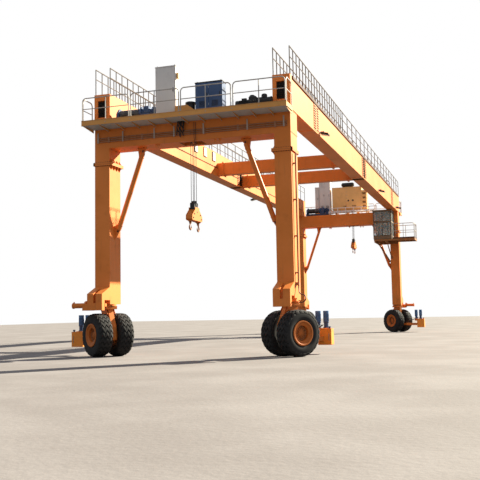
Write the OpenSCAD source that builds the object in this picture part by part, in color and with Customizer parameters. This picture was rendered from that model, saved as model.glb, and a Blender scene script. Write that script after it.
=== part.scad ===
// Rubber tyred gantry crane: two portal frames under two long box girders, a fixed rope hoist on
// each portal, an operator's cab at the rear right leg and four steered twin wheels.
// X runs across the crane, +Y from the front portal to the rear portal, +Z up. Millimetres.

/* [Main frame] */
// Leg centre to leg centre across the crane
span = 7150; // [6600:50:8400]
// Leg centre to leg centre along the crane
wheel_base = 31400; // [27000:100:36000]
// Leg width across the crane
leg_w = 620; // [540:10:740]
// Leg depth along the crane
leg_d = 900; // [820:10:1050]
// Height of the bolted joint between leg and cross-beam
joint_z = 7320; // [6800:20:7700]
// Height of the underside of the cross-beams
beam_z = 7920; // [7750:10:8400]
// Height of a cross-beam
beam_h = 870; // [760:10:1000]
// Depth of a cross-beam
beam_d = 960; // [880:10:1080]
// Width of a girder
girder_w = 660; // [560:10:760]
// Height of a girder
girder_h = 1260; // [1100:10:1500]
// Thickness of the flange plates
flange_t = 60; // [30:5:80]
// Width of the window in the end of a girder
window_w = 360; // [240:10:420]
// Height of the window in the end of a girder
window_h = 660; // [500:10:900]

/* [Feet] */
// Height of the bottom of the leg, where the steering bearing sits
foot_z = 1970; // [1900:5:2100]
// How far the foot reaches out in front of the leg
foot_reach = 620; // [560:10:720]
// Height of the bottom of the foot's toe
toe_z = 1740; // [1700:5:1800]
// Height of the top of the foot's toe
toe_top = 2350; // [2250:10:2450]
// Height at which the foot's slope meets the leg
foot_top = 2610; // [2500:10:2800]
// Thickness of the toe
toe_t = 200; // [150:10:260]
// Width of the slot in the toe
toe_slot = 110; // [80:5:150]

/* [Wheels] */
// Tyre outside diameter
tyre_d = 1630; // [1500:10:1660]
// Tyre width
tyre_w = 580; // [480:10:620]
// Distance between the two tyres' middles
twin_gap = 880; // [800:10:960]
// Rim diameter where the tyre sits
rim_d = 860; // [780:10:900]
// Axle shaft diameter
axle_d = 180; // [120:5:220]
// Steering angle of the front left wheels
steer_a = 54; // [0:1:90]
// Steering angle of the front right wheels
steer_b = -36; // [-90:1:0]

/* [Steering fork] */
// Thickness of the fork's neck
neck_t = 200; // [160:5:240]
// How far the fork's knee stands in front of its steering axis
knee_reach = 500; // [420:10:560]
// Distance from the steering axis to the middle of the hydraulic tank
pack_reach = 1950; // [1800:10:2050]
// Turn of the power pack about the steering axis, against the wheels
pack_turn = 8; // [0:1:12]
// Width of the hydraulic tank
tank_w = 500; // [500:10:640]
// Depth of the hydraulic tank
tank_d = 480; // [460:10:600]
// Height of the hydraulic tank
tank_h = 590; // [480:10:640]
// Height of the bottom of the tank
tank_z = 330; // [280:10:400]
// Diameter of a pump motor
motor_d = 210; // [160:5:240]

/* [Deck and rails] */
// Reach of a deck past the leg centres across the crane
deck_over = 405; // [300:5:500]
// How far the deck stands out from the cross-beam
deck_reach = 880; // [760:10:1000]
// Height of the deck's edge channel
deck_t = 200; // [150:10:240]
// Number of cantilever brackets under a deck
bracket_n = 13; // [9:1:17]
// Height of the deck rail
rail_h = 875; // [800:5:1000]
// Height of the girder rail
walk_rail_h = 1050; // [900:10:1150]
// Thickness of the rail tubes
rail_t = 42; // [34:1:50]

/* [Hoists] */
// Height of the lowest point of the front hooks
hook_z_front = 4600; // [3000:50:5000]
// Height of the lowest point of the rear hooks
hook_z_rear = 5850; // [3500:50:5900]
// How far the rear hoist stands off the middle of its cross-beam
hoist_off_rear = 500; // [0:50:700]
// Rope diameter
rope_d = 20; // [16:1:28]
// Distance between the two hooks of a block
hook_gap = 780; // [700:10:840]
// Diameter of the hook's bar
hook_bar = 60; // [50:1:70]
// Hook throat diameter
throat_d = 120; // [100:5:140]
// Sheave diameter in the blocks
sheave_d = 300; // [280:10:340]

/* [Cab] */
// Width of the cab
cab_w = 1300; // [1100:10:1400]
// Depth of the cab
cab_d = 1500; // [1300:10:1700]
// Height of the cab
cab_h = 2100; // [2000:10:2250]
// Gap between the cab's roof and the girder above it
cab_under = 40; // [20:5:80]

/* [Output] */
// Which piece is drawn, all for every one

/* [Hidden] */
$fn = 48;
eps = 1;
run_gap = 0.05;
rope_slot = 840;
seat_gap = 0.5;
sx = span/2;
deck_half = sx + deck_over;
sy = wheel_base/2;
leg_y = leg_d/2;
beam_top = beam_z + beam_h;
girder_top = beam_top + girder_h;
cab_z = beam_top - cab_under - cab_h;
axle_z = tyre_d/2;
pack_x = -pack_reach*sin(pack_turn);
pack_y = pack_reach*cos(pack_turn);
arm_bend = 900;
wheel_in = (twin_gap - tyre_w)/2;
hub_half = wheel_in - 30;
deck_z = beam_top - 150;
deck_y0 = leg_y;
deck_y1 = leg_y + deck_reach;
deck_top = deck_z + deck_t;
machine_z = deck_top + 400;
girder_half = sy + leg_y;
notch_y0 = leg_y - 20;
notch_y1 = leg_y + foot_reach - toe_t;
cyl_y = (notch_y0 + notch_y1)/2;
cyl_z = foot_z - 40;
cyl_d = 190;
block_h = 1080;
hose_d = 30;
hose_gap = 50;
side_pipe_x = 90;
// Route of the hoses at the front right leg: out from its side, outwards from its middle, up
hose_route = [[90, 200, 2480], [90, 200, 2410], [100, 226, 2342], [116, 262, 2278], [142, 308, 2224],
    [178, 360, 2184], [226, 412, 2160], [280, 462, 2150], [334, 508, 2146], [384, 552, 2124],
    [422, 590, 2074], [436, 618, 2008], [420, 638, 1944], [374, 648, 1898], [312, 650, 1880],
    [250, 650, 1880], [200, 650, 1880]];
function hoist_x(e) = e < 0 ? 0 : hoist_off_rear;
hook_room = 380;

paint = [0.88, 0.5, 0.1];
paint_dark = [0.6, 0.32, 0.1];
steel = [0.55, 0.54, 0.53];
dark = [0.13, 0.13, 0.14];
navy = [0.12, 0.15, 0.22];
blue = [0.18, 0.35, 0.58];
grey = [0.58, 0.58, 0.56];
tan = [0.76, 0.55, 0.28];

// A portal's own frame: +Y outwards from the leg centres, e = -1 front, +1 rear
module at_end(e) {
    translate([0, e*sy, 0]) mirror([0, e > 0 ? 0 : 1, 0]) children();
}

// A side profile in Y and Z, w wide about x
module profile(x, w, pts) {
    translate([x - w/2, 0, 0]) rotate([90, 0, 90]) linear_extrude(w) polygon(pts);
}

module box(x0, x1, y0, y1, z0, z1) {
    translate([x0, y0, z0]) cube([x1 - x0, y1 - y0, z1 - z0]);
}

module tube_x(x0, x1, y, z, d) {
    translate([x0, y, z]) rotate([0, 90, 0]) cylinder(d = d, h = x1 - x0);
}

module tube_y(x, y0, y1, z, d) {
    translate([x, y0, z]) rotate([-90, 0, 0]) cylinder(d = d, h = y1 - y0);
}

// A round bar between two points
module bar(a, b, d) {
    v = b - a;
    l = norm(v);
    translate(a) rotate([0, acos(v[2]/l), atan2(v[1], v[0])]) cylinder(d = d, h = l);
}

// Flange plate around a leg's section, thicker towards the crane's inside; s = side of the crane
module leg_flange(s, z0, z1) {
    x_in = leg_w/2 + 110;
    x_out = leg_w/2 + 15;
    box(s > 0 ? -x_in : -x_out, s > 0 ? x_out : x_in, -leg_y - 60, leg_y + 15, z0, z1);
}

// One leg with its foot; s = side of the crane
module leg(s, e) {
    color(paint) at_end(e) translate([s*sx, 0, 0]) {
        difference() {
            profile(0, leg_w, [[-leg_y, joint_z - flange_t], [-leg_y, foot_z], [notch_y0, foot_z],
                [notch_y0, foot_z + 150], [notch_y1, foot_z + 150], [notch_y1, toe_z],
                [notch_y1 + toe_t, toe_z], [notch_y1 + toe_t, toe_top], [leg_y, foot_top],
                [leg_y, joint_z - flange_t]]);
            profile(0, toe_slot, [[notch_y1 + toe_t - 120, foot_z + 40], [notch_y1 + toe_t + 10, foot_z + 40],
                [notch_y1 + toe_t + 10, toe_top + 10], [leg_y + 140, foot_top - 40],
                [leg_y + 140, foot_top - 170], [notch_y1 + toe_t - 120, toe_top - 70]]);
        }
        leg_flange(s, joint_z - flange_t, joint_z);
        // Bracket of the long steering cylinder, at two legs only
        if (s*e > 0) box(s > 0 ? leg_w/2 : -leg_w/2 - 200, s > 0 ? leg_w/2 + 200 : -leg_w/2,
            cyl_y - 150, notch_y1 + toe_t, cyl_z - 190, cyl_z + 60);
        box(s > 0 ? leg_w/2 - 60 : -leg_w/2, s > 0 ? leg_w/2 : -leg_w/2 + 60,
            notch_y1 - 10, notch_y1 + toe_t, toe_z, cyl_z + 60);
    }
}

// Steering cylinder across the foot; the long one goes out through a collar on its bracket
module steering_cylinder(s, e) {
    at_end(e) translate([s*sx, 0, 0]) mirror([s > 0 ? 0 : 1, 0, 0]) {
        x0 = leg_w/2 + 200;
        if (s*e > 0) {
            tube_x(x0, x0 + 70, cyl_y, cyl_z, cyl_d + 160);
            tube_x(x0 + 70, x0 + 630, cyl_y, cyl_z, cyl_d);
            tube_x(-leg_w/2 + 60, leg_w/2, cyl_y, cyl_z + 10, cyl_d - 60);
        } else {
            tube_x(-leg_w/2 + 60, leg_w/2 + 120, cyl_y, cyl_z + 10, cyl_d - 60);
            tube_x(leg_w/2 + 70, leg_w/2 + 110, cyl_y, cyl_z + 10, cyl_d);
            for (x = [-leg_w/2 + 90, leg_w/2 - 130]) box(x, x + 40, cyl_y - 60, cyl_y + 60, cyl_z, foot_z + 150);
        }
    }
}

module steering_cylinders() {
    color(paint) for (s = [-1, 1]) for (e = [-1, 1]) steering_cylinder(s, e);
    // Manifold that takes the hoses at the front right leg
    color(paint) at_end(-1) translate([sx + leg_w/2, 0, 0]) box(110, hose_route[len(hose_route) - 1][0],
        cyl_y - hose_gap - hose_d, cyl_y + hose_gap + hose_d, cyl_z - 90, cyl_z - 10);
}

function unit(v) = v/norm(v);
function along(r, i) = unit(r[min(i + 1, len(r) - 1)] - r[max(i - 1, 0)]);
function ring(p, t, d) = let (a = unit(cross(t, [1, -2, 0.5])), b = cross(t, a))
    [for (k = [0:9]) p + d/2*(cos(36*k)*a + sin(36*k)*b)];

// A hose swept along a route
module sweep(r, d) {
    n = len(r);
    polyhedron([for (i = [0:n - 1]) each ring(r[i], along(r, i), d)],
        concat([[for (k = [0:9]) k]],
            [for (i = [0:n - 2]) for (k = [0:9]) [10*i + k, 10*i + 10 + k, 10*i + 10 + (k + 1)%10, 10*i + (k + 1)%10]],
            [[for (k = [9:-1:0]) 10*(n - 1) + k]]));
}

module hose(i) {
    color(dark) at_end(-1) translate([sx + leg_w/2, i*hose_gap/2, 0]) sweep(hose_route, hose_d);
}

eye_x = [-1340, -1240, 160, 1010, 1190];

// Cross-beam with a stub and flange over each leg and the openings for the hoist ropes
module cross_beam(e) {
    color(paint) at_end(e) difference() {
        union() {
            box(-sx - leg_w/2, sx + leg_w/2, leg_y - beam_d, leg_y, beam_z, beam_top);
            for (s = [-1, 1]) translate([s*sx, 0, 0]) {
                box(-leg_w/2, leg_w/2, -leg_y, leg_y, joint_z + flange_t, beam_z);
                leg_flange(s, joint_z, joint_z + flange_t);
            }
            // Lifting eyes under the outer edge
            for (x = eye_x) {
                box(x - 45, x + 45, leg_y - 100, leg_y - 76, beam_z - 60, beam_z);
                tube_y(x, leg_y - 100, leg_y - 76, beam_z - 60, 90);
            }
        }
        for (x = eye_x) tube_y(x, leg_y - 100 - eps, leg_y - 76 + eps, beam_z - 60, 44);
        translate([hoist_x(e), 0, 0]) box(-rope_slot/2, rope_slot/2, -270, 270, beam_z - eps, sheave_z + sheave_d/2 + 60);
    }
}

// Long box girder with a window in each end
module girder(s) {
    color(paint) difference() {
        translate([s*sx - girder_w/2, -girder_half, beam_top]) cube([girder_w, 2*girder_half, girder_h]);
        for (e = [-1, 1]) at_end(e)
            box(s*sx - window_w/2, s*sx + window_w/2, leg_y - 240, leg_y + eps,
                girder_top - 250 - window_h, girder_top - 250);
    }
}

tie_y = [-3740, 540];
tie_h = 640;
tie_w = 420;

// Two tie beams between the girders, each bolted to a stub at both ends
module tie_beams() {
    color(paint) for (y = tie_y) {
        x1 = sx - girder_w/2;
        box(-x1, x1, y - tie_w/2, y + tie_w/2, beam_top + 60, beam_top + 60 + tie_h);
        for (s = [-1, 1]) for (d = [0, 1])
            box(s*(x1 - 330) + (d - 0.5)*44 - 18, s*(x1 - 330) + (d - 0.5)*44 + 18, y - tie_w/2 - 50,
                y + tie_w/2 + 50, beam_top + 10, beam_top + tie_h + 110);
    }
}

knee_low = 4550;
knee_run = 1500;
knee_d = 185;

// Tubular knee braces between legs and cross-beams
module knee_braces() {
    color(paint) for (e = [-1, 1]) at_end(e) for (s = [-1, 1]) mirror([s > 0 ? 0 : 1, 0, 0]) {
        a = [sx - leg_w/2 - 150, 0, knee_low + 260];
        b = [sx - knee_run, 0, beam_z - 190];
        bar(a, b, knee_d);
        translate([0, 30, 0]) rotate([90, 0, 0]) linear_extrude(60)
            polygon([[sx - leg_w/2, knee_low - 120], [sx - leg_w/2, knee_low + 420],
                [sx - leg_w/2 - 250, knee_low + 520], [sx - leg_w/2 - 250, knee_low + 300]]);
        translate([0, 30, 0]) rotate([90, 0, 0]) linear_extrude(60)
            polygon([[sx - knee_run - 190, beam_z], [sx - knee_run + 200, beam_z],
                [sx - knee_run + 150, beam_z - 330], [sx - knee_run + 40, beam_z - 360]]);
    }
}

// Winch deck outside the cross-beam: closed floor, edge channel and shallow brackets
module deck(e) {
    color(paint_dark) at_end(e) {
        box(-deck_half, deck_half, deck_y0, deck_y1 - 60, deck_z + 20, deck_top - 20);
        box(-deck_half, deck_half, deck_y1 - 60, deck_y1, deck_z, deck_top);
        for (i = [0:bracket_n - 1]) {
            x = -deck_half + 40 + i*(2*deck_half - 80)/(bracket_n - 1);
            profile(x, 16, [[deck_y0, deck_z + 20], [deck_y0, deck_z - 90], [deck_y1 - 60, deck_z],
                [deck_y1 - 60, deck_z + 20]]);
        }
        // Plate over the top of the beam between the girders
        box(-sx + girder_w/2, sx - girder_w/2, leg_y - beam_d, leg_y, beam_top, beam_top + 8);
        if (e > 0) machine_frame();
    }
}

// Raised frame under the generator and the cabinets: two rails on posts
module machine_frame() {
    for (y = [deck_y0 + 40, deck_y0 + 640]) {
        box(-2480, 1520, y, y + 100, machine_z - 120, machine_z);
        for (x = [-2480, -1680, -880, -80, 720, 1420]) box(x, x + 100, y, y + 100, deck_top - 20, machine_z - 120);
    }
    for (x = [-2480, -1200, 1420]) box(x, x + 100, deck_y0 + 140, deck_y0 + 640, machine_z - 120, machine_z);
}

// One flat section of tube railing in X and Z, l long and h high with posts at most pitch apart
module rail_section(l, h, pitch, mid) {
    n = max(1, ceil((l - rail_t)/pitch));
    w = (l - rail_t)/n;
    rotate([90, 0, 0]) linear_extrude(rail_t, center = true) difference() {
        square([l, h]);
        for (i = [0:n - 1]) {
            translate([rail_t + i*w, -eps]) square([w - rail_t, mid - rail_t/2 + eps]);
            translate([rail_t + i*w, mid + rail_t/2]) square([w - rail_t, h - mid - 1.5*rail_t]);
        }
    }
}

deck_rail_n = 4;

module deck_rail(e) {
    color(steel) at_end(e) {
        l = 2*deck_half/deck_rail_n;
        for (i = [0:deck_rail_n - 1])
            translate([-deck_half + i*l + 20, deck_y1 - rail_t/2, deck_top]) rail_section(l - 40, rail_h, 1000, rail_h*0.5);
        for (s = [-1, 1]) translate([s*(deck_half - rail_t/2), deck_y0 + 60, deck_top - 20]) rotate([0, 0, 90])
            rail_section(deck_reach - 150, rail_h + 20, 1000, rail_h*0.5);
    }
}

walk_pitch = 520;

module walk_rails(s) {
    color(steel) {
        y0 = girder_half - 60;
        for (x = [-1, 1]) translate([s*sx + x*(girder_w/2 - rail_t/2), -y0, girder_top]) rotate([0, 0, 90])
            rail_section(2*y0, walk_rail_h, walk_pitch, walk_rail_h*0.62);
    }
}

winch_gap = 145; // [120:5:200]
winch_x = -sx + girder_w/2 + winch_gap;
winch_drive_x = 1420; // [1380:10:1500]
winch_gear_l = 220; // [180:10:260]

// Rope winch: a drum between two bearing stands, gearbox and motor on a base frame
module winch(x0, y, z) {
    translate([x0, y, z]) for (y = [-200, 120]) box(40, 1860, y, y + 80, 0, 100);
    translate([x0, y, z + 100]) {
        box(0, 1900, -260, 260, 0, 90);
        for (x = [60, 1130]) {
            profile(x + 35, 70, [[-210, 90], [210, 90], [150, 330], [-150, 330]]);
            tube_x(x, x + 70, 0, 330, 340);
        }
        tube_x(130, 1130, 0, 330, 330);
        for (x = [130, 1070]) tube_x(x, x + 60, 0, 330, 480);
        box(winch_drive_x - winch_gear_l, winch_drive_x, -190, 190, 90, 560);
        tube_x(winch_drive_x, winch_drive_x + 440, 0, 330, 280);
        tube_x(winch_drive_x + 440, winch_drive_x + 470, 0, 330, 200);
        box(winch_drive_x + 80, winch_drive_x + 360, -110, 110, 90, 200);
    }
}

module winch_front() { color(navy) at_end(-1) winch(winch_x, leg_y - 300, beam_top + 8); }
module winch_rear() { color(navy) at_end(1) winch(winch_x, leg_y - 300, beam_top + 8); }

// A cabinet with a roof rim, doors and a plinth
module cabinet(w, d, h, doors) {
    difference() {
        union() {
            box(20, w - 20, 20, d - 20, 0, 60);
            box(0, w, 0, d, 60, h - 40);
            box(-15, w + 15, -15, d + 15, h - 40, h);
        }
        for (i = [1:doors]) for (y = [-eps, d - 12])
            box(30 + (i - 1)*(w - 60)/doors + 8, 30 + i*(w - 60)/doors - 8, y, y + 12 + eps, 110, h - 90);
    }
}

module control_cabinet_front() { color(grey) at_end(-1) translate([-1180, leg_y + 60, deck_top - 20]) cabinet(810, 270, 1930, 1); }

module control_cabinets_rear() {
    color(grey) at_end(1) {
        translate([-2140, deck_y0 + 60, machine_z]) cabinet(860, 560, 2330, 2);
        translate([-2460, deck_y0 + 60, machine_z]) cabinet(300, 400, 1860, 1);
    }
}

module cooler_cabinet() {
    color(navy) at_end(-1) translate([450, leg_y + 20, deck_top - 20]) cabinet(1040, 430, 1130, 2);
}

// Sloping hood over the brake unit with a round black cap
module front_machines() {
    color(paint_dark) at_end(-1) translate([-330, leg_y + 80, deck_top - 20]) {
        translate([0, 420, 0]) rotate([90, 0, 0]) linear_extrude(420)
            polygon([[0, 0], [750, 0], [750, 130], [480, 330], [0, 330]]);
        translate([535, 210, 100]) cylinder(d = 330, h = 300);
        translate([535, 210, 400]) cylinder(d = 390, h = 60);
    }
    color(dark) at_end(-1) translate([1920, leg_y + 10, deck_top - 20]) {
        box(0, 1390, 0, 460, 0, 60);
        tube_x(20, 520, 230, 200, 300);
        box(100, 440, 130, 330, 60, 140);
        box(550, 840, 40, 420, 60, 420);
        tube_x(520, 550, 230, 210, 200);
        tube_x(840, 1390, 230, 230, 320);
        for (x = [640, 1090]) translate([x, 230, 200]) cylinder(d = 210, h = 310);
    }
}

gen_w = 2250;
gen_h = 1740;
cooler_w = 380;

// Diesel generator in its housing: round openings, a louvred cooler at its right end and the muffler
module generator_set() {
    d = 680;
    color(tan) at_end(1) translate([-1130, deck_y0 + 60, machine_z]) difference() {
        union() {
            box(40, gen_w - 40, 40, d - 40, 0, 60);
            box(0, gen_w, 0, d, 60, gen_h - 40);
            box(-12, gen_w + 12, -12, d + 12, gen_h - 40, gen_h);
            box(gen_w, gen_w + cooler_w, 30, d - 30, 0, gen_h - 300);
        }
        for (x = [1240, 1580]) tube_y(x, -eps, 80, 700, 130);
        for (i = [0:3]) box(gen_w + 60, gen_w + 300, 30 - eps, 90, 130 + i*330, 290 + i*330);
    }
    muffler();
}

muffler_z = machine_z + gen_h + 220;

// Exhaust muffler over the housing: shell with a tapered end, its stand and the tail pipe
module muffler() {
    color(dark) at_end(1) translate([0, deck_y0 + 400, 0]) {
        tube_x(-380, 420, 0, muffler_z, 320);
        translate([420, 0, muffler_z]) rotate([0, 90, 0]) cylinder(d1 = 320, d2 = 220, h = 90);
        tube_x(-440, -380, 0, muffler_z, 200);
        for (x = [-250, 300]) box(x - 35, x + 35, -60, 60, machine_z + gen_h, muffler_z - 130);
    }
}

cab_x0 = sx - 1275;
cab_y1 = sy - leg_y - 140;
cab_post = 60;
cab_sill = 260;
cab_band = 1180;

// Operator's cab: floor, roof, posts, window bars, back wall, seat and desk
module cab_frame() {
    color(paint) translate([cab_x0, cab_y1 - cab_d, cab_z]) {
        box(0, cab_w, 0, cab_d, 0, 100);
        box(-20, cab_w + 20, -40, cab_d + 20, cab_h - 120, cab_h);
        for (x = [0, cab_w - cab_post]) for (y = [0, cab_d - cab_post])
            box(x, x + cab_post, y, y + cab_post, 100, cab_h - 120);
        box(cab_post, cab_w - cab_post, cab_d - 40, cab_d, 100, cab_h - 120);
        for (z = [100, cab_band]) {
            box(cab_post, cab_w - cab_post, 0, 40, z, z + (z > 100 ? 110 : cab_sill - 100));
            for (x = [0, cab_w - 40]) box(x, x + 40, cab_post, cab_d - cab_post, z, z + (z > 100 ? 110 : cab_sill - 100));
        }
        box(420, 880, 700, 1150, 100, 520);
        box(420, 880, 1090, 1190, 520, 1150);
    }
}

module cab_glass() {
    color([0.55, 0.62, 0.66, 0.6]) translate([cab_x0, cab_y1 - cab_d, cab_z])
        for (z = [[cab_sill, cab_band], [cab_band + 110, cab_h - 120]]) {
            box(cab_post, cab_w - cab_post, 10, 22, z[0], z[1]);
            for (x = [12, cab_w - 24]) box(x, x + 12, cab_post, cab_d - cab_post, z[0], z[1]);
        }
}

plat_z = cab_z - 100;
plat_over = 1630;
plat_rail_h = 1100;
rail_pitch = 1000;
plat_y0 = cab_y1 - cab_d - 60;
strut_drop = 1450;

// Platform under the cab that runs past the leg: channels and plate, bearers and two struts
module cab_platform() {
    color(paint) {
        x0 = cab_x0 + 40;
        x1 = sx + plat_over;
        xl = sx - leg_w/2;
        yb = sy - leg_y;
        box(x0, x1, plat_y0, cab_y1 + 60, plat_z + 50, plat_z + 80);
        for (y = [plat_y0, cab_y1]) box(x0, x1, y, y + 60, plat_z - 40, plat_z + 50);
        for (x = [x0, x1 - 60]) box(x, x + 60, plat_y0 + 60, cab_y1, plat_z - 40, plat_z + 50);
        for (x = [cab_x0 + 60, cab_x0 + cab_w - 120]) box(x, x + 100, plat_y0 + 200, cab_y1 - 200, plat_z + 80, cab_z);
        // Bearers under the platform, carried by an arm from the side of the leg
        for (x = [x0 + 20, xl - 130]) box(x, x + 100, plat_y0 + 20, yb + 60, plat_z - 140, plat_z - 40);
        box(x0 + 20, xl, yb + 60, yb + 200, plat_z - 160, plat_z - 20);
        box(xl, xl + leg_w, cab_y1 + 60, yb, plat_z - 140, plat_z + 80);
        bar([x0 + 90, yb + 130, plat_z - 100], [xl - 50, yb + 130, plat_z - strut_drop], 110);
        box(xl - 30, xl, yb + 40, yb + 220, plat_z - strut_drop - 130, plat_z - strut_drop + 130);
        bar([xl - 80, cab_y1 - 900, plat_z - 90], [xl + 70, yb - 30, plat_z - 1150], 70);
        box(xl, xl + 160, yb - 30, yb, plat_z - 1240, plat_z - 1060);
    }
}

module cab_platform_rail() {
    color(steel) {
        x0 = cab_x0 + cab_w + 40;
        x1 = sx + plat_over;
        translate([x0, plat_y0 + rail_t/2, plat_z + 80]) rail_section(x1 - x0, plat_rail_h, rail_pitch, plat_rail_h*0.52);
        translate([x0, cab_y1 + 60 - rail_t/2, plat_z + 80]) rail_section(x1 - x0, plat_rail_h, rail_pitch, plat_rail_h*0.52);
        translate([x1 - rail_t/2, plat_y0 + rail_t + 1, plat_z + 80]) rotate([0, 0, 90])
            rail_section(cab_d + 120 - 2*rail_t - 2, plat_rail_h, rail_pitch, plat_rail_h*0.52);
    }
}

fall_x = [-40, 40];
sheave_t = 50;
sheave_z = beam_z + 170;
fall_y = sheave_d/2 + rope_d/2 + 0.2;

// Upper sheaves in the opening under each cross-beam
module rope_sheaves() {
    color(dark) for (e = [-1, 1]) at_end(e) translate([hoist_x(e), 0, 0]) {
        tube_x(-rope_slot/2, rope_slot/2, 0, sheave_z, 90);
        for (x = fall_x) tube_x(x - sheave_t/2, x + sheave_t/2, 0, sheave_z, sheave_d);
    }
}

function block_top(z) = z + block_h;

// Hoist ropes from the sheaves to the hook block
module ropes(e) {
    z = block_top(e < 0 ? hook_z_front : hook_z_rear);
    color(steel) at_end(e) translate([hoist_x(e), 0, 0]) for (x = fall_x) for (y = [-fall_y, fall_y])
        translate([x, y, z - box_h + block_axle]) cylinder(d = rope_d, h = sheave_z - z + box_h - block_axle);
}

box_h = 300;
box_w = 170;
block_axle = 195;

// Sheave box on top of a hook block, open at the top, with its sheaves
module sheave_box(e) {
    z = block_top(e < 0 ? hook_z_front : hook_z_rear) - box_h;
    y = fall_y + rope_d/2 + 12;
    color(dark) at_end(e) translate([hoist_x(e), 0, z]) {
        difference() {
            box(-box_w/2, box_w/2, -y - 12, y + 12, 0, box_h - 20);
            box(-box_w/2 + 14, box_w/2 - 14, -y, y, 20, box_h);
        }
        tube_x(-box_w/2 - 20, box_w/2 + 20, 0, block_axle, 70);
        for (x = fall_x) tube_x(x - sheave_t/2, x + sheave_t/2, 0, block_axle, sheave_d);
    }
}

block_w = 260;

// Hook block: two cheeks that taper to the sheave box, and a beam for the two hooks
module hook_block(e) {
    z0 = e < 0 ? hook_z_front : hook_z_rear;
    zt = block_h - box_h;
    color(paint) at_end(e) translate([hoist_x(e), 0, z0]) difference() {
        profile(0, block_w, [[-210, zt], [-210, zt + 100], [210, zt + 100], [210, zt], [500, hook_room + 190],
            [520, hook_room + 40], [460, hook_room], [-460, hook_room], [-520, hook_room + 40],
            [-500, hook_room + 190]]);
        box(-box_w/2, box_w/2, -210 - eps, 210 + eps, zt, zt + 101);
        for (s = [-1, 1]) translate([0, s*hook_gap/2, hook_room - eps]) cylinder(d = hook_bar + 2*run_gap, h = 122);
    }
}

// Forged hook with a round bar section and a nut collar; s = +1 for the outer hook of its block
module hook(e, s) {
    z0 = e < 0 ? hook_z_front : hook_z_rear;
    r = (throat_d + hook_bar)/2;
    zc = hook_bar + throat_d/2;
    color(dark) at_end(e) translate([hoist_x(e), s*hook_gap/2, z0]) mirror([0, s > 0 ? 0 : 1, 0]) {
        translate([0, 0, zc + 110]) cylinder(d = hook_bar, h = hook_room + 118 - zc - 110);
        translate([0, 0, hook_room - 60 - seat_gap]) cylinder(d = hook_bar + 90, h = 60);
        rotate([90, 0, 90]) translate([0, zc, 0]) rotate([0, 0, -200]) rotate_extrude(angle = 250) translate([r, 0]) circle(d = hook_bar);
        bar([0, -r*cos(20), zc + r*sin(20)], [0, 0, zc + 130], hook_bar - 4);
    }
}

// Steering fork: slewing ring, top casing, bent neck, hub and the arm of the power pack.
// Its own frame: steering axis at the origin, knee towards -Y, power pack towards +Y
module fork(s, e) {
    difference() {
        union() {
            translate([0, 0, foot_z - seat_gap - 70]) cylinder(d = 640, h = 70);
            box(-240, 240, -280, 300, foot_z - 190, foot_z - 70);
            profile(0, neck_t, [[-200, foot_z - 190], [-knee_reach, 1120], [-knee_reach, 640], [-300, 570],
                [230, 570], [330, 900], [300, foot_z - 190]]);
            tube_x(-hub_half, hub_half, 0, axle_z, 420);
            box(-70, 70, 200, arm_bend, 480, 640);
            translate([0, arm_bend, 0]) rotate([0, 0, atan2(-pack_x, pack_y - arm_bend)])
                box(-70, 70, -30, norm([pack_x, pack_y - arm_bend]) - tank_d/2 + 20, 480, 640);
        }
        tube_x(-hub_half - eps, hub_half + eps, 0, axle_z, axle_d + 2*run_gap);
        tank(s, e);
    }
}

// The tank's own frame at the end of the fork's arm, square to the crane at the angle it stands at
module at_tank(s, e) {
    translate([pack_x, pack_y, tank_z]) rotate([0, 0, s*e > 0 ? -steer_a : -steer_b]) children();
}

module tank(s, e) {
    at_tank(s, e) box(-tank_w/2, tank_w/2, -tank_d/2, tank_d/2, 0, tank_h);
}

// Hydraulic tank with two motors on pumps beside it
module power_pack(s, e) {
    q = s*e;
    tank(s, e);
    at_tank(s, e) {
        box(q > 0 ? -160 : -tank_w/2 - 190, q > 0 ? tank_w/2 + 190 : 160, -30, 230, tank_h, tank_h + 20);
        for (x = [0, 300]) translate([q*x, 100, tank_h + 20]) {
            cylinder(d = motor_d + 20, h = 30);
            cylinder(d = motor_d - 30, h = 240);
            translate([0, 0, 240]) cylinder(d = motor_d, h = 400);
        }
    }
}

module tyre_section() {
    h = tyre_w/2;
    r = tyre_d/2;
    b = rim_d/2;
    translate([0, 0]) polygon([[b, -h + 50], [b + 60, -h + 10], [r - 230, -h], [r - 120, -h + 8], [r - 30, -h + 40],
        [r, -h + 80], [r, h - 80], [r - 30, h - 40], [r - 120, h - 8], [r - 230, h], [b + 60, h - 10], [b, h - 50]]);
}

module tyres() {
    for (s = [-1, 1]) translate([s*twin_gap/2, 0, axle_z]) rotate([0, 90, 0]) rotate_extrude($fn = 96) tyre_section();
}

// Two dished rims on one shaft
module rims() {
    h = tyre_w/2;
    b = rim_d/2;
    tube_x(-twin_gap/2 - 40, twin_gap/2 + 40, 0, axle_z, axle_d);
    for (s = [-1, 1]) translate([s*twin_gap/2, 0, axle_z]) rotate([0, s*90, 0]) rotate_extrude($fn = 96)
        polygon([[0, -h + 60], [b - 60, -h + 60], [b - 30, -h + 30], [b, -h + 30], [b, h - 40], [b - 30, h - 10],
            [b - 70, h - 10], [b - 110, h - 40], [b - 150, h - 60], [b - 170, -h + 240], [150, -h + 240], [150, h - 140],
            [110, h - 110], [0, h - 110]]);
}

// Puts a steered part under its leg, turned to its angle
module corner(s, e) {
    a = s*e > 0 ? steer_a : steer_b;
    translate([s*sx, e*sy, 0]) rotate([0, 0, a + (e > 0 ? 180 : 0)]) children();
}

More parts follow.
